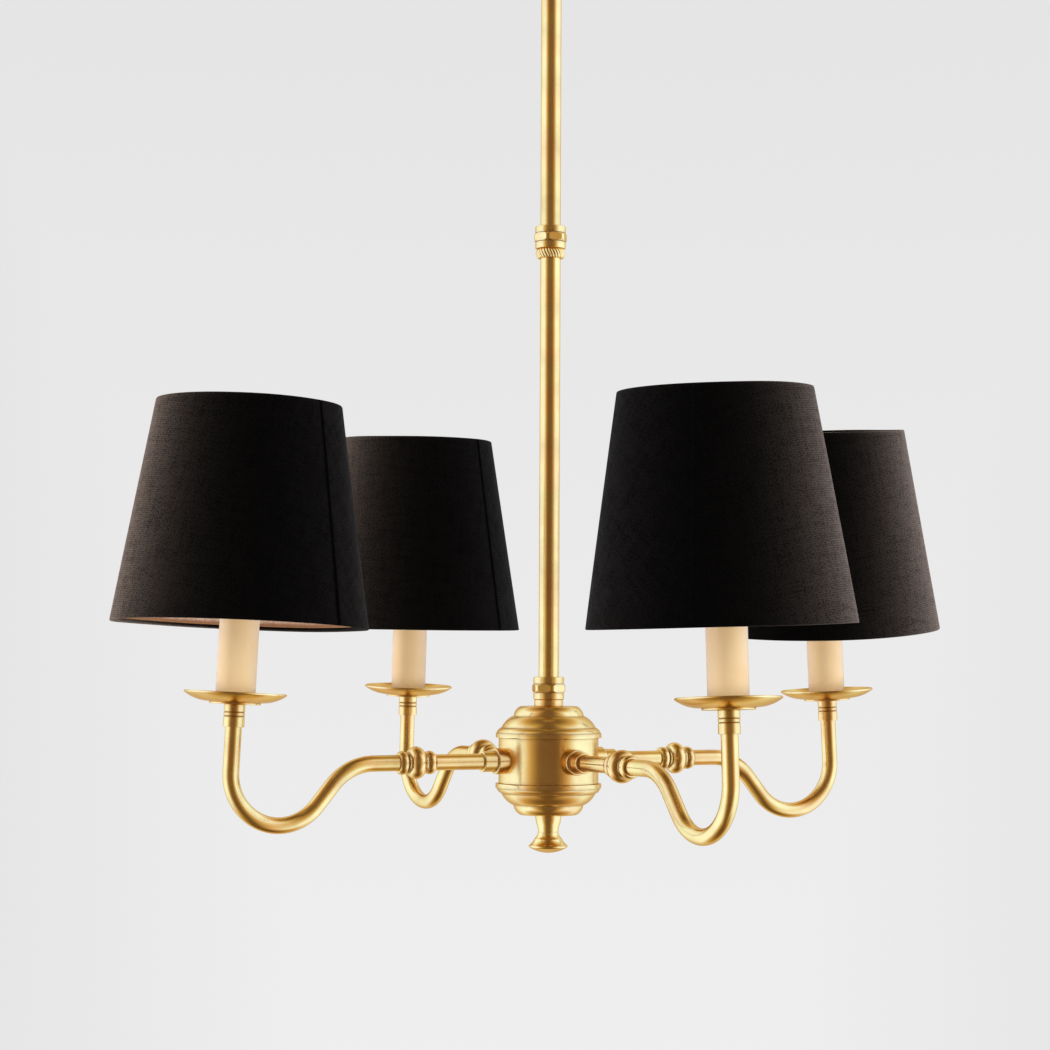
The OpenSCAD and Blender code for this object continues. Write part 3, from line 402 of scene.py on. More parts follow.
def softened(points, fillet, loop):
    # rounds the corners of a profile, adds points beside them, and marks crevices and edges
    s = rounding
    spots = [np.array(p[:2], float) for p in points]
    own = [p[2] if len(p) > 2 else fillet for p in points]
    area = sum(a[0] * b[1] - b[0] * a[1] for a, b in zip(spots, spots[1:] + spots[:1]))
    facing = 1 if area > 0 else -1
    line, corners = [], []
    for i, b in enumerate(spots):
        u, v = b - spots[i - 1], spots[(i + 1) % len(spots)] - b
        lu, lv = np.linalg.norm(u), np.linalg.norm(v)
        isEnd = not loop and i in (0, len(spots) - 1)
        bend = facing * math.atan2(u[0] * v[1] - u[1] * v[0], u @ v)
        if isEnd or abs(bend) < s["leastBend"]:
            line.append(b)
            continue
        corners.append((b, bend))
        reach = own[i] * math.tan(min(abs(bend), s["mostBend"]) / 2)
        reach = min(reach, s["edgeShare"] * lu, s["edgeShare"] * lv)
        start, end = b - u / lu * reach, b + v / lv * reach
        line += [(1 - t) ** 2 * start + 2 * t * (1 - t) * b + t * t * end for t in s["curve"]]
    full = []
    for i, a in enumerate(line):
        full.append(a)
        if i + 1 == len(line) and not loop:
            break
        b = line[(i + 1) % len(line)]
        length = np.linalg.norm(b - a)
        near = [d for d in s["beside"] if d < s["besideShare"] * length]
        full += [a + (b - a) * d / length for d in near]
        full += [b + (a - b) * d / length for d in reversed(near)]
    full = np.array(full)
    crevice, edge = np.zeros(len(full)), np.zeros(len(full))
    for spot, bend in corners:
        far = np.linalg.norm(full - spot, axis=1)
        fullBend, spread = s["crevice"] if bend < 0 else s["edge"]
        mark = min(1.0, abs(bend) / fullBend) * np.exp(-far / spread)
        if bend < 0:
            crevice = np.maximum(crevice, mark)
        else:
            edge = np.maximum(edge, mark)
    return full, crevice, edge


def turned(points, steps=usualSides, loop=True, fillet=rounding["fillet"], section=None):
    # turns a profile round its axis; section(angles, radius, height) shapes the rings that aren't round
    line, crevice, edge = softened(points, fillet, loop)
    angles = np.arange(steps) * 2 * math.pi / steps
    along = np.concatenate([[0], np.cumsum(np.linalg.norm(np.diff(line, axis=0), axis=1))])
    verts, marks, rings, faces = [], [], [], []
    for i, (r, z) in enumerate(line):
        mark = (crevice[i], edge[i], along[i])
        if r < 1e-6:  # on the axis, where a ring is one point
            rings.append([len(verts)])
            verts.append((0.0, 0.0, z))
            marks.append(mark)
            continue
        radii = section(angles, r, z) if section else np.full(steps, r)
        rings.append(list(range(len(verts), len(verts) + steps)))
        verts += list(zip(radii * np.cos(angles), radii * np.sin(angles), np.full(steps, z)))
        marks += [mark] * steps
    pairs = list(zip(rings, rings[1:])) + ([(rings[-1], rings[0])] if loop else [])
    for a, b in pairs:
        for j in range(steps):
            n = (j + 1) % steps
            face = (a[j % len(a)], a[n % len(a)], b[n % len(b)], b[j % len(b)])
            faces.append(tuple(dict.fromkeys(face)))  # at the axis two corners are one
    return {"verts": np.array(verts, float), "faces": [f for f in faces if len(f) > 2],
            "marks": np.array(marks, float)}


def tube(inner, outer, low, high, rounds=(rounding["fillet"],) * 4, steps=usualSides):
    # rounds go from the lower inner corner outward, up and back in
    line = ((inner, low), (outer, low), (outer, high), (inner, high))
    return turned([(*spot, r) for spot, r in zip(line, rounds)], steps)


def swept(path, radius, steps=32, side=(0, 1, 0)):
    # a round tube along a path that lies in one plane; side stands square to that plane
    path, side = np.array(path, float), np.array(side, float)
    ways = np.gradient(path, axis=0)
    ways /= np.linalg.norm(ways, axis=1)[:, None]
    angles = np.arange(steps) * 2 * math.pi / steps
    verts, faces = [], []
    for p, way in zip(path, ways):
        up = np.cross(way, side)
        verts += [p + radius * (math.cos(a) * up + math.sin(a) * side) for a in angles]
    last = (len(path) - 1) * steps
    for i in range(0, last, steps):
        for j in range(steps):
            n = (j + 1) % steps
            faces.append((i + j, i + n, i + steps + n, i + steps + j))
    faces += [tuple(range(steps - 1, -1, -1)), tuple(range(last, last + steps))]
    return {"verts": np.array(verts, float), "faces": faces, "marks": np.zeros((len(verts), 3))}


def placed(shape, place):
    grid = np.array(place)
    return {**shape, "verts": shape["verts"] @ grid[:3, :3].T + grid[:3, 3]}


def joined(shapes):
    verts, faces, marks, start = [], [], [], 0
    for shape in shapes:
        verts.append(shape["verts"])
        marks.append(shape["marks"])
        faces += [tuple(i + start for i in face) for face in shape["faces"]]
        start += len(shape["verts"])
    return {"verts": np.vstack(verts), "faces": faces, "marks": np.vstack(marks)}


def makePiece(name, shape, finish, slot, body, node, sharp=50):
    mesh = bpy.data.meshes.new(name)
    mesh.from_pydata((shape["verts"] * millimetre).tolist(), [], shape["faces"])
    builder = bmesh.new()
    builder.from_mesh(mesh)
    bmesh.ops.recalc_face_normals(builder, faces=builder.faces)
    builder.to_mesh(mesh)
    builder.free()
    mesh.polygons.foreach_set("use_smooth", [True] * len(mesh.polygons))
    mesh.set_sharp_from_angle(angle=math.radians(sharp))
    for i, label in enumerate(markNames):
        layer = mesh.attributes.new(label, "FLOAT", "POINT")
        layer.data.foreach_set("value", shape["marks"][:, i].astype(np.float32))
    if "cut" in shape:
        corners = np.zeros(len(mesh.loops), np.int32)
        mesh.loops.foreach_get("vertex_index", corners)
        flat = shape["cut"][corners].astype(np.float32).ravel()
        mesh.uv_layers.new(name="cut").data.foreach_set("uv", flat)
    mesh.materials.append(materials[finish])
    piece = bpy.data.objects.new(name, mesh)
    bpy.context.scene.collection.objects.link(piece)
    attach(piece, body)
    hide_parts(node)
    return piece


def brassPiece(name, shape, node, body="fixture", **extra):
    return makePiece(name, shape, "brass", "brass", body, node, **extra)


def height(node):
    low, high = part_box(node)
    return low.z * metre, high.z * metre


# rods
rods = {"inner": 5.3, "outer": 6.5, "rounds": (0.25,) * 4}
for name, node in (("upperRod", "upper_rod"), ("lowerRod", "lower_rod")):
    brassPiece(name, tube(rods["inner"], rods["outer"], *height(node), rods["rounds"]), node)

# couplers: round end, groove, hexagon, groove, round end
coupler = {
    "endRadius": 9.8, "endHeight": 4.6, "endRound": 0.7, "flats": 19.6, "hexHeight": 5.2, "cornerTrim": 0.5,
    "groove": 0.75, "grooveWidth": 0.3, "chamfer": 0.9, "chamferSlope": 0.9, "hexSharp": 32,
    "rodBore": 6.55, "tieBore": 5.05, "rodTurn": 19.0, "neckTurn": 44.0, "sides": 144,
}


def couplerShape(low, hexTurn, bores):
    c = coupler
    hexLow = low + c["endHeight"]
    hexHigh = low + (c["endHeight"] + c["hexHeight"])
    top = low + (2 * c["endHeight"] + c["hexHeight"])
    flat = c["flats"] / 2
    corner = flat / math.cos(math.pi / 6) - c["cornerTrim"]
    near, inside = 0.01, 0.3  # how far past its edges and within its flats the hexagon reaches

    def section(angles, r, z):
        if not hexLow - near <= z <= hexHigh + near or r < flat - inside:
            return np.full(len(angles), r)
        off = (angles - math.radians(hexTurn) + math.pi / 6) % (math.pi / 3) - math.pi / 6
        lean = max(0.0, c["chamfer"] - min(z - hexLow, hexHigh - z)) * c["chamferSlope"]
        return np.minimum(flat / np.cos(math.pi / 6 - np.abs(off)), corner - lean) + (r - flat)

    end, groove, width = c["endRadius"], c["endRadius"] - c["groove"], c["grooveWidth"]
    line = [
        (bores[0], low), (end, low, c["endRound"]), (end, hexLow - width),
        (groove, hexLow - width), (groove, hexLow, 0),
        (flat, hexLow, 0), (flat, hexLow + c["chamfer"], 0),
        (flat, hexHigh - c["chamfer"], 0), (flat, hexHigh, 0),
        (groove, hexHigh, 0), (groove, hexHigh + width),
        (end, hexHigh + width), (end, top, c["endRound"]), (bores[1], top),
    ]
    return turned(line, steps=c["sides"], section=section)


for name, node, hexTurn, bores in (
    ("rodCoupler", "rod_coupler", coupler["rodTurn"], (coupler["rodBore"], coupler["rodBore"])),
    ("neckCoupler", "neck_coupler", coupler["neckTurn"], (coupler["tieBore"], coupler["rodBore"])),
):
    low, _ = height(node)
    brassPiece(name, couplerShape(low, hexTurn, bores), node, sharp=coupler["hexSharp"])

# rope ring under the rod coupler, with slanting ribs
ropeRing = {
    "bore": 6.55, "outer": 9.5, "bulge": 1.2, "arcSteps": 12,
    "ribs": 26, "ribSides": 12, "ribDepth": 0.4, "ribPower": 1.5, "ribInside": 0.2, "slant": 0.22,
}
ropeShoulder = ropeRing["outer"] - ropeRing["bulge"]


def ropeSection(angles, r, z):
    if r < ropeShoulder - ropeRing["ribInside"]:  # the bore stays round
        return np.full(len(angles), r)
    wave = np.abs(np.sin(ropeRing["ribs"] / 2 * angles + ropeRing["slant"] * z * math.pi))
    return r - ropeRing["ribDepth"] * (1 - wave) ** ropeRing["ribPower"]


low, high = height("rod_rope_ring")
rope = arcPoints((ropeShoulder, low), (ropeShoulder, high), -ropeRing["bulge"], ropeRing["arcSteps"])
rope = [(ropeRing["bore"], low)] + rope + [(ropeRing["bore"], high)]
rope = turned(rope, steps=ropeRing["ribs"] * ropeRing["ribSides"], section=ropeSection)
brassPiece("rodRopeRing", rope, "rod_rope_ring")

neckRing = {"bore": 5.05, "outer": 9.2, "rounds": (0.35, 0.35, 0.6, 0.35)}
ring = tube(neckRing["bore"], neckRing["outer"], *height("neck_ring"), neckRing["rounds"])
brassPiece("neckRing", ring, "neck_ring")
print("rods and couplers done")

# body: two stepped covers and the shell between them
body = {
    "shellRadius": 31.8, "shellWall": 1.5, "shellHalf": 14.5, "dirt": 0.8, "dirtSpread": 0.8,
    "shellRounds": (0.3,) * 4, "flangeRadius": 33.7, "flangeHeight": 2.8, "flangeRound": 0.4,
    "wall": 1.5, "lip": 3.0, "lipPlay": 0.05, "hole": 5.05, "fillet": 0.4, "arcSteps": 12,
    # each step: set in at its start and end, height, bulge
    "steps": ((0.5, 3.2, 3.4, 0.5), (3.6, 10.2, 7.2, 0.8), (11.3, 15.6, 6.5, 1.0)),
}


def coverShape():
    b = body
    half, z = b["shellHalf"], b["shellHalf"] + b["flangeHeight"]
    outer = [(b["flangeRadius"], half), (b["flangeRadius"], z, b["flangeRound"])]
    inner = []
    for start, end, rise, bulge in b["steps"]:
        foot, head = (b["flangeRadius"] - start, z), (b["flangeRadius"] - end, z + rise)
        climb = arcPoints(foot, head, -bulge, b["arcSteps"])
        outer += climb
        inner += [(r - b["wall"], h - b["wall"], 0) for r, h in (climb[0], climb[-1])]
        z += rise
    lip = b["shellRadius"] - b["shellWall"] - b["lipPlay"]
    line = [(b["hole"], z - b["wall"])] + list(reversed(inner[1:]))
    line += [(lip - b["wall"], half - b["lip"]), (lip, half - b["lip"]), (lip, half)]
    return turned(line + outer + [(b["hole"], z)], steps=largeSides, fillet=b["fillet"])


brassPiece("bodyTopCover", placed(coverShape(), hang), "body_top_cover")
brassPiece("bodyBottomCover", placed(coverShape(), hang @ turn(180, "X")), "body_bottom_cover")
half, outer = body["shellHalf"], body["shellRadius"]
shell = tube(outer - body["shellWall"], outer, -half, half, body["shellRounds"], largeSides)
nearFlange = half - np.abs(shell["verts"][:, 2])
shell["marks"][:, 0] = body["dirt"] * np.exp(-nearFlange / body["dirtSpread"])  # a line under each flange
brassPiece("bodyShell", placed(shell, hang), "body_shell")

finial = {
    "top": 8.4, "shoulder": 7.5, "waist": 6.4, "flare": 8.8, "rim": 12.4,
    "shoulderDrop": 5.7, "waistDrop": 10.9, "rimDrop": 19.7, "height": 24.2, "rimEdge": 0.6,
    "bulges": (0.2, -0.15, -0.4, -0.3, 0.8),  # from the top down
    "bore": 5.05, "boreDepth": 8.0, "fillet": 0.45,
}


def finialShape():
    f = finial
    shoulder, waist = (f["shoulder"], -f["shoulderDrop"]), (f["waist"], -f["waistDrop"])
    flare = (f["flare"], -(f["waistDrop"] + f["rimDrop"]) / 2)
    rim = (f["rim"] - f["rimEdge"], f["rimEdge"] - f["rimDrop"])
    line = [(0, -f["boreDepth"]), (f["bore"], -f["boreDepth"]), (f["bore"], 0), (f["top"], 0)]
    stops = ((f["top"], 0), shoulder, waist, flare, rim)
    for start, end, bulge in zip(stops, stops[1:], f["bulges"]):
        line += arcPoints(start, end, bulge)[1:]
    line += [(f["rim"], -f["rimDrop"]), (f["rim"], -f["rimDrop"] - f["rimEdge"])]
    under = (f["rim"] - f["rimEdge"], -f["rimDrop"] - 2 * f["rimEdge"])
    line += arcPoints(under, (0, -f["height"]), f["bulges"][-1])
    return turned(line, loop=False, fillet=f["fillet"])


_, high = height("finial")
brassPiece("finial", placed(finialShape(), shift(0, 0, high)), "finial")
print("body done")

# arms: straight, upper bend, slope, lower bend, upright stem
arm = {
    "tube": 5.0, "start": 23.2, "dip": 36.3, "slope": 50.0, "upperBend": 35.0, "lowerBend": 31.5, "top": 9.4,
    "points": (24, 25, 10, 49, 20),  # on each of the five stretches
}
# flange and sleeve: radius, end, rounding
ferrule = {"bore": 5.05, "start": 30.6, "flange": (8.1, 38.7, 0.6), "sleeve": (6.6, 47.7, 0.5)}
# ball, bead and ring: radius, length to one side
knuckle = {
    "at": 93.3, "bore": 5.05, "ball": (10.1, 5.0), "bead": (6.5, 1.3), "ring": (7.3, 6.0), "root": 5.95,
    "fillet": 0.2, "ballSteps": 20,
}
tipCollar = {
    "bore": 5.05, "radius": 6.4, "height": 13.6, "bead": 2.4, "beadAt": 5.9,
    "groove": 0.5, "grooveEdge": 0.15, "grooveFoot": 0.1, "lowRound": 0.5, "sides": 72,
}


def armPath():
    a, lean = arm, math.radians(layout["candleLean"])
    upper, lower, points = a["upperBend"], a["lowerBend"], a["points"]
    slope, reach = math.radians(a["slope"]), layout["armReach"]
    stem = (layout["armRise"] + a["dip"] - lower * (1 + math.sin(lean))) / math.cos(lean)
    centre = (reach + stem * math.sin(lean) - lower * math.cos(lean), lower - a["dip"])
    foot = (centre[0] - lower * math.sin(slope), centre[1] - lower * math.cos(slope))
    topZ = -upper * (1 - math.cos(slope))
    run = (topZ - foot[1]) / math.sin(slope)
    head = foot[0] - run * math.cos(slope)
    straight = head - upper * math.sin(slope)
    path = [(x, 0.0) for x in np.linspace(a["start"], straight, points[0])[:-1]]
    path += [(straight + upper * math.sin(t), upper * (math.cos(t) - 1))
             for t in np.linspace(0, slope, points[1])]
    path += [(head + (foot[0] - head) * t, topZ + (foot[1] - topZ) * t)
             for t in np.linspace(0, 1, points[2])[1:-1]]
    path += [(centre[0] - lower * math.sin(slope - t), centre[1] - lower * math.cos(slope - t))
             for t in np.linspace(0, slope + math.pi / 2 + lean, points[3])]
    end = path[-1]
    path += [(end[0] - math.sin(lean) * s, end[1] + math.cos(lean) * s)
             for s in np.linspace(0, stem + a["top"], points[4])[1:]]
    return [(x, 0.0, z) for x, z in path]


def knuckleShape():
    k = knuckle
    ballX, beadX = k["ball"][1], k["ball"][1] + k["bead"][1]
    ringX = beadX + k["ring"][1]
    ringBulge, ballBulge = k["ring"][0] - k["root"], k["ball"][0] - k["bead"][0]
    line = [(k["bore"], -ringX)]
    line += arcPoints((k["root"], -ringX), (k["root"], -beadX), -ringBulge)
    line += [(k["bead"][0], -beadX)]
    line += arcPoints((k["bead"][0], -ballX), (k["bead"][0], ballX), -ballBulge, k["ballSteps"])
    line += [(k["bead"][0], beadX)]
    line += arcPoints((k["root"], beadX), (k["root"], ringX), -ringBulge)
    return turned(line + [(k["bore"], ringX)], fillet=k["fillet"])


def ferruleShape():
    f, (flange, sleeve) = ferrule, (ferrule["flange"], ferrule["sleeve"])
    return turned([(f["bore"], f["start"]), (flange[0], f["start"]), flange,
                   (sleeve[0], flange[1]), sleeve, (f["bore"], sleeve[1])])


def tipCollarShape():
    t, g, r = tipCollar, tipCollar["groove"], tipCollar["radius"]
    line = [(t["bore"], 0), (r, 0)]
    for z in (t["bead"] / 2 - t["beadAt"], -t["bead"] / 2 - t["beadAt"]):
        line += [(r, z + g, t["grooveEdge"]), (r - g, z, t["grooveFoot"]), (r, z - g, t["grooveEdge"])]
    line += [(r, -t["height"], t["lowRound"]), (t["bore"], -t["height"])]
    return turned(line, steps=t["sides"])


for k in lights:
    brassPiece(f"arm{k + 1}", placed(swept(armPath(), arm["tube"]), armPlace(k)), f"arm_{k + 1}")
    onArm = armPlace(k) @ shift(knuckle["at"], 0, 0) @ alongArm
    brassPiece(f"knuckle{k + 1}", placed(knuckleShape(), onArm), f"knuckle_{k + 1}")
ferrules = [placed(ferruleShape(), armPlace(k) @ alongArm) for k in lights]
brassPiece("armFerrules", joined(ferrules), "arm_ferrules")
collars = [placed(tipCollarShape(), lightPlace(k)) for k in lights]
brassPiece("tipCollars", joined(collars), "tip_collars")
print("arms done")

# candles: drip pan, tube and bulb
pan = {
    "hole": 5.05, "foot": 15.5, "footHeight": 1.3, "dish": 14.3, "rim": 31.0, "height": 7.5,
    "wall": 1.1, "bulge": 1.6, "arcSteps": 18, "fillet": 0.5,
}
candle = {"inner": 10.8, "outer": 12.0, "low": 2.4, "high": 82.4, "rounds": (0.35, 0.35, 0.6, 0.4)}
bulb = {
    "capTop": 84.4, "belly": 27.0, "tip": 48.0, "radius": 17.5, "neck": 7.0, "tipRadius": 2.0, "wall": 0.8,
    "innerStop": 0.2, "fillet": 1.2, "points": (20, 30),  # on the belly and on the tip
}


def panShape():
    p = pan
    dish, rim = (p["dish"], p["footHeight"]), (p["rim"], p["height"] - p["wall"])
    under = arcPoints(dish, rim, -p["bulge"], p["arcSteps"])
    over = [(r - p["wall"] / 2, z + p["wall"]) for r, z in reversed(under)]
    line = [(p["hole"], 0), (p["foot"], 0), (p["foot"], p["footHeight"])] + under + over
    line += [(p["hole"], p["footHeight"] + p["wall"])]
    return turned(line, steps=largeSides, fillet=p["fillet"])


def bulbTipArc():
    depth = bulb["radius"] - bulb["tipRadius"]
    return (bulb["tip"] ** 2 + depth ** 2) / (2 * depth)


def bulbShape():
    b, arc = bulb, bulbTipArc()
    widest = b["capTop"] + b["belly"]
    outer = []
    for s in np.linspace(0, b["belly"], b["points"][0])[:-1]:
        swell = (b["radius"] - b["neck"]) * (1 - math.cos(math.pi * s / b["belly"])) / 2
        outer.append((b["neck"] + swell, b["capTop"] + s))
    for s in np.linspace(0, b["tip"], b["points"][1]):
        outer.append((math.sqrt(arc ** 2 - s ** 2) - (arc - b["radius"]), widest + s))
    top = widest + b["tip"]
    stop = b["tipRadius"] + b["innerStop"]
    inner = [(r - b["wall"], min(z, top - b["wall"])) for r, z in outer if r > stop]
    line = [(0, top)] + list(reversed(outer)) + inner + [(0, top - b["wall"])]
    return turned(line, loop=False, fillet=b["fillet"])


for k in lights:
    n, place = k + 1, lightPlace(k)
    brassPiece(f"dripPan{n}", placed(panShape(), place), f"drip_pan_{n}")
    makePiece(f"candleTube{n}", placed(tube(**candle), place), "candleCream", "candle_cream",
              "fixture", f"candle_tube_{n}")
    makePiece(f"bulbGlass{n}", placed(bulbShape(), place), "opalGlass", "opal_glass",
              f"bulb_{n}", f"bulb_glass_{n}")
print("candles done")

# shades: black linen turned in at both edges, a lining, and the wire frame
shade = {
    "bottom": 77.5, "top": 56.0, "height": 134.0, "hem": 10.0,
    "linen": 0.4, "lining": 0.4, "fold": 0.7, "tuck": 0.2,
    "rollRadius": 1.7, "rollAt": (2.4, 2.3), "rollTurn": (80, 265, 10), "rollTop": 5.2, "rollLift": 0.05,
    "outerRings": (3, 24), "innerRings": (6, 20),  # how far from the edges, and how many
    "topBend": (1.2, 0.8, 0.6), "bottomBend": (1.5, 1.2, 1.1, 2.2),  # inside the folds
    "skin": 0.03, "liningTurn": (175, 110, 6), "liningLow": (5.6, 7.5), "liningStep": (0.6, 3.5),
    "liningTop": (2, 18),
    "liningDarkBelow": (5.8, 2.2),  # dark below this height, and over how much
    "steps": 288, "waver": 0.45, "rimWaver": 0.35, "waves": 5, "swing": (0.4, 1),
    "seamTurn": (-41.0, 60.0, -148.0, 121.0), "seamWidth": 7.0, "seamProud": 0.35, "seamGap": 0.07,
    "seamPower": 0.6, "seamSkin": 0.25, "seamMarks": (1.0, 0.3), "rimHighlightReach": 0.8,
    "grainAt": (95.0, 250.0, 300.0, 222.0),  # where the threads stand upright
    "sideLightAt": (61.5, -28.0, 62.0, -28.0), "sideLightShare": (0.85, 1.4, 2.2, 1.15),  # painted side light: where each shade is paler, and how strongly
    "seed": 11, "clothSharp": 75,
}
taper = (shade["bottom"] - shade["top"]) / shade["height"]
coneSine = math.sin(math.atan(taper))


def wallRadius(z):
    return shade["bottom"] - taper * z


def inWall(z, depth=0.0):
    return wallRadius(z) - depth, z


def rollPoints(radius, span):
    inward, up = shade["rollAt"]
    middle = wallRadius(up) - inward
    return [(middle + radius * math.cos(a), up + radius * math.sin(a))
            for a in np.radians(np.linspace(*span))]


def linenLine():
    # the outer face from the bottom hem to the top hem, and back along the inner face
    s, top, hem, fold, tuck = shade, shade["height"], shade["hem"], shade["fold"], shade["tuck"]
    hemOuter, hemInner = 2 * fold, 2 * fold - s["linen"]
    line = [inWall(hem, hemOuter), inWall(s["rollTop"], hemOuter)]
    line += rollPoints(s["rollRadius"], s["rollTurn"])
    line += [(wallRadius(0) - fold, s["rollLift"]), inWall(tuck, tuck), inWall(fold)]
    margin, count = s["outerRings"]
    line += [inWall(z) for z in np.linspace(margin, top - margin, count)]
    line += [inWall(top - fold), inWall(top - tuck, tuck), inWall(top, fold),
             inWall(top - tuck, hemOuter - tuck), inWall(top - fold, hemOuter), inWall(top - hem, hemOuter)]
    low, bendAt, bendTop = s["topBend"]
    line += [inWall(top - hem, hemInner), inWall(top - low, hemInner),
             (wallRadius(top - bendAt) - fold, top - bendTop), inWall(top - low, s["linen"])]
    margin, count = s["innerRings"]
    line += [inWall(z, s["linen"]) for z in np.linspace(top - margin, margin, count)]
    high, bendAt, bendLow, rise = s["bottomBend"]
    line += [inWall(high, s["linen"]), (wallRadius(bendAt) - fold, bendLow),
             inWall(rise, hemInner), inWall(hem, hemInner)]
    return np.array(line)


def liningLine():
    s = shade
    againstHem, againstWall = 2 * s["fold"] + s["skin"], s["linen"] + s["skin"]
    overHem, ontoWall = s["liningStep"]
    margin, count = s["liningTop"]
    sides = []
    for depth in (0.0, s["lining"]):
        side = rollPoints(s["rollRadius"] + s["skin"] + depth, s["liningTurn"])
        side += [inWall(z, againstHem + depth) for z in (*s["liningLow"], s["hem"] + overHem)]
        wall = np.linspace(s["hem"] + ontoWall, s["height"] - margin, count)
        sides.append(side + [inWall(z, againstWall + depth) for z in wall])
    return np.array(sides[0] + sides[1][::-1])


def clothShape(line, k, seam):
    # columns start just after the edge of the lap, so the step there stays crisp
    s, full, gap = shade, 2 * math.pi, math.radians(shade["seamGap"])
    turnBy = gap + np.linspace(0, full, s["steps"] + 1) * (full - 2 * gap) / full
    angles = math.radians(s["seamTurn"][k] - s["seamWidth"] / 2) + turnBy
    rng = np.random.default_rng(s["seed"] + k)
    waves = range(s["waves"])
    swing, phase = rng.uniform(*s["swing"], len(waves)), rng.uniform(0, full, 2 * len(waves))

    def wavering(sizes, phases):
        return sum(sizes[j] * np.cos((j + 2) * turnBy + phases[j]) / (j + 1.5) for j in waves)

    sway, lift = wavering(swing, phase), wavering(swing[::-1], phase[len(waves):])
    lapShare = np.clip(1 - turnBy / math.radians(s["seamWidth"]), 0, 1) ** s["seamPower"]
    # painted side light: each shade is paler on the side where the side lamps fall
    litSide = s["sideLightShare"][k] * (0.5 + 0.5 * np.cos(angles - math.radians(s["sideLightAt"][k]))) ** 2
    swung = (turnBy - math.radians(s["grainAt"][k])) * coneSine
    columns, rings = len(angles), len(line)
    verts, marks, cut = [np.zeros((rings, columns, width)) for width in (3, 3, 2)]
    for i, (r, z) in enumerate(line):
        fromMiddle = 2 * z / s["height"] - 1
        radius = r + s["waver"] * sway * (0.5 + 0.5 * abs(fromMiddle) ** 3)
        if seam and r > wallRadius(z) - s["seamSkin"]:  # the outer face alone has the lap's step
            radius = radius + s["seamProud"] * lapShare
        up = z + s["rimWaver"] * lift * fromMiddle ** 5
        verts[i] = np.stack([radius * np.cos(angles), radius * np.sin(angles), up], axis=1)
        slant = wallRadius(z) / coneSine * millimetre
        cut[i] = np.stack([slant * np.sin(swung), slant * np.cos(swung)], axis=1)
        marks[i, :, 2] = litSide
        if seam:
            marks[i, [0, -1], 0], marks[i, [1, -2], 0] = s["seamMarks"]
            # painted highlight near the rims
            marks[i, :, 1] = max(0.0, 1 - min(z, s["height"] - z) / s["rimHighlightReach"])
        else:
            # the lining is darker towards its bottom edge
            marks[i, :, 0] = np.clip((s["liningDarkBelow"][0] - z) / s["liningDarkBelow"][1], 0, 1)
    index = np.arange(rings * columns).reshape(rings, columns).tolist()
    faces = []
    for i in range(rings):
        a, b = index[i], index[(i + 1) % rings]
        faces += [(a[j - 1], a[j], b[j], b[j - 1]) for j in (*range(1, columns), 0)]
    return {"verts": verts.reshape(-1, 3), "faces": faces,
            "marks": marks.reshape(-1, 3), "cut": cut.reshape(-1, 2)}


wires = {
    "ring": 1.3, "spoke": 1.0, "solder": 1.55, "spokes": 3, "spokeTurn": 90.0,
    "hubRadius": 14.0, "hubDrop": 17.0, "hoopAt": 20.0, "hoopPlay": 0.3,
    "ringInset": 2.5, "hemDepth": 1.5, "ringPlay": 0.05,
    "ringSides": 16, "sides": 14, "points": 6, "beadSteps": 8,
}


def wireRing(radius, z, wire):
    angles = np.linspace(0, 2 * math.pi, wires["ringSides"] + 1)[:-1]
    return turned([(radius + wire * math.cos(a), z + wire * math.sin(a)) for a in angles], fillet=0)


def wireLength(start, end, wire):
    way = end - start
    side = way.orthogonal().normalized()
    path = [tuple(start + way * t) for t in np.linspace(0, 1, wires["points"])]
    return swept(path, wire, wires["sides"], tuple(side))


def solderBead(spot):
    size = wires["solder"]
    angles = np.linspace(0, math.pi, wires["beadSteps"] + 1)
    line = [(size * math.sin(a), -size * math.cos(a)) for a in angles]
    line[0], line[-1] = (0, line[0][1]), (0, line[-1][1])
    return placed(turned(line, wires["sides"], loop=False, fillet=0), Matrix.Translation(spot))


def ringSpot(place, radius, degrees, z):
    a = math.radians(degrees)
    return place @ Vector((radius * math.cos(a), radius * math.sin(a), z))


def frameShape(k):
    w, arc, onShade, onBulb = wires, bulbTipArc(), shadePlace(k), lightPlace(k)
    topZ, hubZ, hubR = shade["height"] - w["ringInset"], shade["height"] - w["hubDrop"], w["hubRadius"]
    topR = wallRadius(topZ) - w["hemDepth"] - (w["ring"] + w["ringPlay"]) / math.cos(math.atan(taper))
    hoopR = math.sqrt((arc + w["hoopPlay"] + w["ring"]) ** 2 - w["hoopAt"] ** 2) - (arc - bulb["radius"])
    hoopZ = bulb["capTop"] + bulb["belly"] + w["hoopAt"]
    parts = [placed(wireRing(radius, z, w["ring"]), place)
             for radius, z, place in ((topR, topZ, onShade), (hubR, hubZ, onShade), (hoopR, hoopZ, onBulb))]
    for i in range(w["spokes"]):
        spoke = w["spokeTurn"] - layout["armAngles"][k] + 360 * i / w["spokes"]
        leg = spoke + 180 / w["spokes"]
        for start, end in (
            (ringSpot(onShade, hubR, spoke, hubZ), ringSpot(onShade, topR, spoke, topZ)),
            (ringSpot(onBulb, hoopR, leg, hoopZ), ringSpot(onShade, hubR, leg, hubZ)),
        ):
            parts += [wireLength(start, end, w["spoke"]), solderBead(start), solderBead(end)]
    return joined(parts)


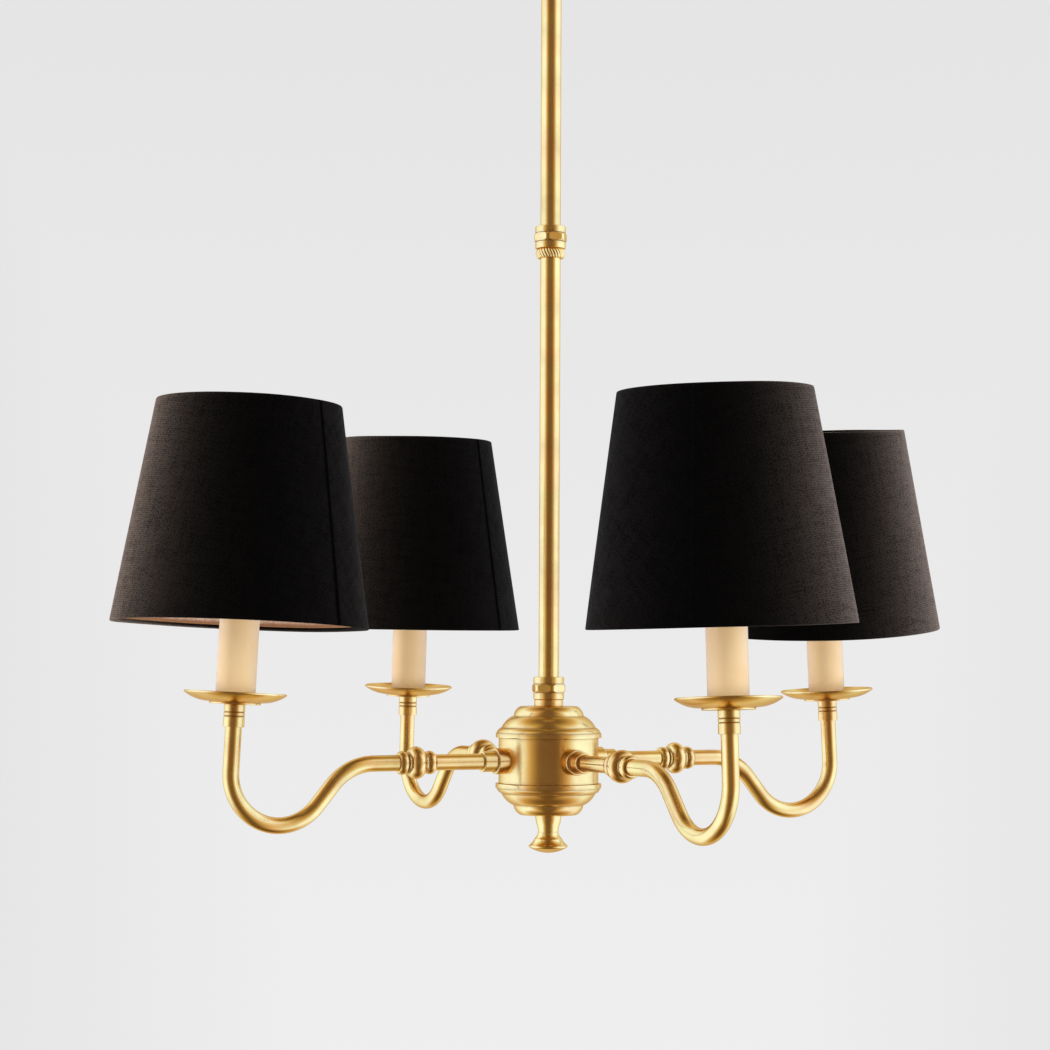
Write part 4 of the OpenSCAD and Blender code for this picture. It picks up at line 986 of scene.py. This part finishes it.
# the flat cut of a shade is the unrolled cone, with a hem at both edges of the linen
for k in lights:
    n, bodyName = k + 1, f"shade_set_{k + 1}"
    frameWires = makePiece(f"shadeFrame{n}", frameShape(k), "brassWire", "brass_wire", bodyName,
                           f"shade_frame_{n}")
    linen, lining = [
        makePiece(f"{name}{n}", placed(clothShape(line, k, seam), shadePlace(k)), finish, "black_linen",
                  bodyName, f"shade_{n}", sharp=shade["clothSharp"])
        for name, line, seam, finish in (("shadeLinen", linenLine(), True, "blackLinen"),
                                         ("shadeLining", liningLine(), False, "creamLining"))]
    # no dark shades are mirrored in the brass, as in the photograph
    linen.visible_glossy = lining.visible_glossy = frameWires.visible_glossy = False
print("shades done")

# ceiling cover and its nut
canopy = {
    "rim": 56.0, "depth": 36.0, "band": 5.0, "bandRound": 0.8, "setIn": 1.5, "crown": 15.0,
    "hole": 5.3, "bulge": 9.0, "wall": 1.2, "arcSteps": 28, "fillet": 0.4,
}


def canopyShape():
    c, wall, depth = canopy, canopy["wall"], canopy["depth"]
    shoulder = (c["rim"] - c["setIn"], -c["band"])
    dome = arcPoints(shoulder, (c["crown"], -depth), c["bulge"], c["arcSteps"])
    inside = [(r - wall, z + wall) for r, z in reversed(dome)]
    line = [(c["rim"], 0), (c["rim"], -c["band"], c["bandRound"])] + dome
    line += [(c["hole"], -depth), (c["hole"], wall - depth)] + inside
    line += [(c["rim"] - wall, wall - c["band"]), (c["rim"] - wall, 0)]
    return turned(line, steps=largeSides, fillet=c["fillet"])


brassPiece("canopy", canopyShape(), "canopy", "ceiling")
canopyNut = {"bore": 5.05, "outer": 12.0, "rounds": (0.35, 1.2, 1.2, 0.35)}
nut = tube(canopyNut["bore"], canopyNut["outer"], *height("canopy_nut"), canopyNut["rounds"])
brassPiece("canopyNut", nut, "canopy_nut", "swivel")

# CAD solids whose shape is right get their finish
cadFinish = {
    "ceiling_bracket": "platedSteel", "bracket_nut": "platedSteel", "terminal_block": "blockPlastic",
    "swivel_fork": "brass", "swivel_pin": "brassThread", "swivel_tongue": "brass",
    "rod_nipple": "brassThread", "tie_tube": "brassThread", "lock_nuts": "brassThread",
    "lampholder": "holderPlastic", "bulb_cap": "capMetal",
}
showing = {name: solid for name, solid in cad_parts.items() if not solid.hide_render}
for name, solid in showing.items():
    finish = cadFinish.get(name) or cadFinish[name.rsplit("_", 1)[0]]
    solid.data.materials.clear()
    solid.data.materials.append(materials[finish])
print("ceiling fitting done; solids left showing:", len(showing))

# stage: pale floor well below, lamps at both sides, pale surroundings
stage = {
    "floorLevel": -2.4, "floorRadius": 6.0, "floorCorners": 128,
    "colour": (0.82, 0.82, 0.81, 1), "roughness": 0.8,
}
lamps = {
    "leftBox": {"at": (-2.2, 0.5, -0.75), "size": (0.6, 1.2), "power": 31.0, "colour": (1.0, 0.84, 0.7)},
    "rightBox": {"at": (2.2, -0.5, -0.75), "size": (0.6, 1.2), "power": 23.0, "colour": (0.97, 0.97, 1.0)},
    "topBox": {"at": (0.0, 0.9, 1.3), "size": (1.6, 1.0), "power": 8.0, "colour": (1.0, 0.98, 0.95)},
}
lampAim = Vector((0, 0, -0.5))
surround = {
    "near": (0.86, 0.86, 0.86, 1), "far": (0.783, 0.783, 0.783, 1),  # behind the body, away from it
    "aboveSpan": (-0.16, 0.24, 0.0, 1.0), "besideSpan": (0.08, 0.21, 0.0, 0.9),
    "fill": (0.2, 0.2, 0.2, 1), "frontFill": (1.9, 1.86, 1.8, 1), "backFill": (0.7, 0.68, 0.66, 1),
    "frontSpan": (0.1, 0.9, 0.0, 1.0), "backSpan": (-0.1, -0.9, 0.0, 1.0),
}
# what the metal mirrors: dark in front, straight up and straight down, warm between, bright at the sides
mirrored = {
    "frontSpan": (0.93, 0.42, 0.0, 1.0), "backSpan": (-0.97, -0.6, 0.6, 1.0),
    "steepSpan": (0.97, 0.62, 0.0, 1.0),
    "tones": ((0.0, (0.167, 0.101, 0.042, 1)), (0.45, (0.727, 0.532, 0.211, 1)),
              (1.0, (1.148, 1.494, 2.11, 1))),
}

corners = np.linspace(0, 2 * math.pi, stage["floorCorners"] + 1)[:-1]
floorR, floorZ = stage["floorRadius"], stage["floorLevel"]
rim = [(floorR * math.cos(a), floorR * math.sin(a), floorZ) for a in corners]
floorMesh = bpy.data.meshes.new("floor")
floorMesh.from_pydata(rim, [], [tuple(range(len(rim)))])
floor = bpy.data.objects.new("floor", floorMesh)
bpy.context.scene.collection.objects.link(floor)
floor.visible_glossy = False  # the metal mirrors the surround instead
paint = bpy.data.materials.new("floorPaint")
paint.use_nodes = True
cover = paint.node_tree.nodes["Principled BSDF"]
cover.inputs["Roughness"].default_value = stage["roughness"]
cover.inputs["Base Color"].default_value = stage["colour"]
floorMesh.materials.append(paint)

for name, lamp in lamps.items():
    data = bpy.data.lights.new(name, "AREA")
    data.shape = "RECTANGLE"
    data.size, data.size_y = lamp["size"]
    data.energy = lamp["power"]
    data.color = lamp["colour"]
    box = bpy.data.objects.new(name, data)
    box.location = lamp["at"]
    box.rotation_euler = (lampAim - Vector(lamp["at"])).to_track_quat("-Z", "Y").to_euler()
    bpy.context.scene.collection.objects.link(box)
    box.visible_glossy = False

world = bpy.data.worlds.new("surround")
bpy.context.scene.world = world
world.use_nodes = True
tree = world.node_tree
tree.nodes.clear()
generated = addNode(tree, "ShaderNodeTexCoord").outputs["Generated"]
way = addNode(tree, "ShaderNodeSeparateXYZ", {0: generated}).outputs
above = remap(tree, way[2], *surround["aboveSpan"])
beside = remap(tree, mathNode(tree, "ABSOLUTE", way[0]), *surround["besideSpan"])
backdrop = mixColours(tree, mathNode(tree, "MAXIMUM", above, beside), surround["near"], surround["far"])
inFront = times(tree, way[1], -1.0)
levelWay = addNode(tree, "ShaderNodeCombineXYZ", {0: way[0], 1: way[1]}).outputs[0]
level = addNode(tree, "ShaderNodeVectorMath", {0: levelWay}, operation="LENGTH").outputs["Value"]
facing = mathNode(tree, "DIVIDE", inFront, mathNode(tree, "MAXIMUM", level, 0.001))
fromFront, fromBack = [remap(tree, facing, *mirrored[span]) for span in ("frontSpan", "backSpan")]
shallow = remap(tree, mathNode(tree, "ABSOLUTE", way[2]), *mirrored["steepSpan"])
bright = mathNode(tree, "MINIMUM", mathNode(tree, "MINIMUM", fromFront, fromBack), shallow)
ramp = addNode(tree, "ShaderNodeValToRGB", {0: bright})
stops = ramp.color_ramp.elements
stops.new(0.5)
for stop, (spot, tone) in zip(stops, mirrored["tones"]):
    stop.position, stop.color = spot, tone
filled = surround["fill"]
for span, tone in (("frontSpan", "frontFill"), ("backSpan", "backFill")):
    filled = mixColours(tree, remap(tree, inFront, *surround[span]), filled, surround[tone])
rays = addNode(tree, "ShaderNodeLightPath").outputs
colour = mixColours(tree, rays["Is Glossy Ray"], filled, ramp.outputs["Color"])
seen = mathNode(tree, "MAXIMUM", rays["Is Camera Ray"], rays["Is Transmission Ray"])
colour = mixColours(tree, seen, colour, backdrop)
back = addNode(tree, "ShaderNodeBackground", {"Color": colour, "Strength": 1.0})
tree.links.new(back.outputs[0], addNode(tree, "ShaderNodeOutputWorld").inputs[0])

# camera, as the photograph was taken
view = {"at": (0.0, -1.638, -0.5076), "lens": 87.9, "pan": 0.546, "tilt": 92.71, "roll": 0.25}
eye = bpy.data.cameras.new("eye")
eye.lens = view["lens"]
camera = bpy.data.objects.new("eye", eye)
aim = turn(view["pan"], "Z") @ turn(view["tilt"], "X") @ turn(view["roll"], "Z")
camera.matrix_world = shift(*view["at"]) @ aim
bpy.context.scene.collection.objects.link(camera)
bpy.context.scene.camera = camera
bpy.context.scene.view_settings.view_transform = "Standard"
print("stage, lamps and camera done")
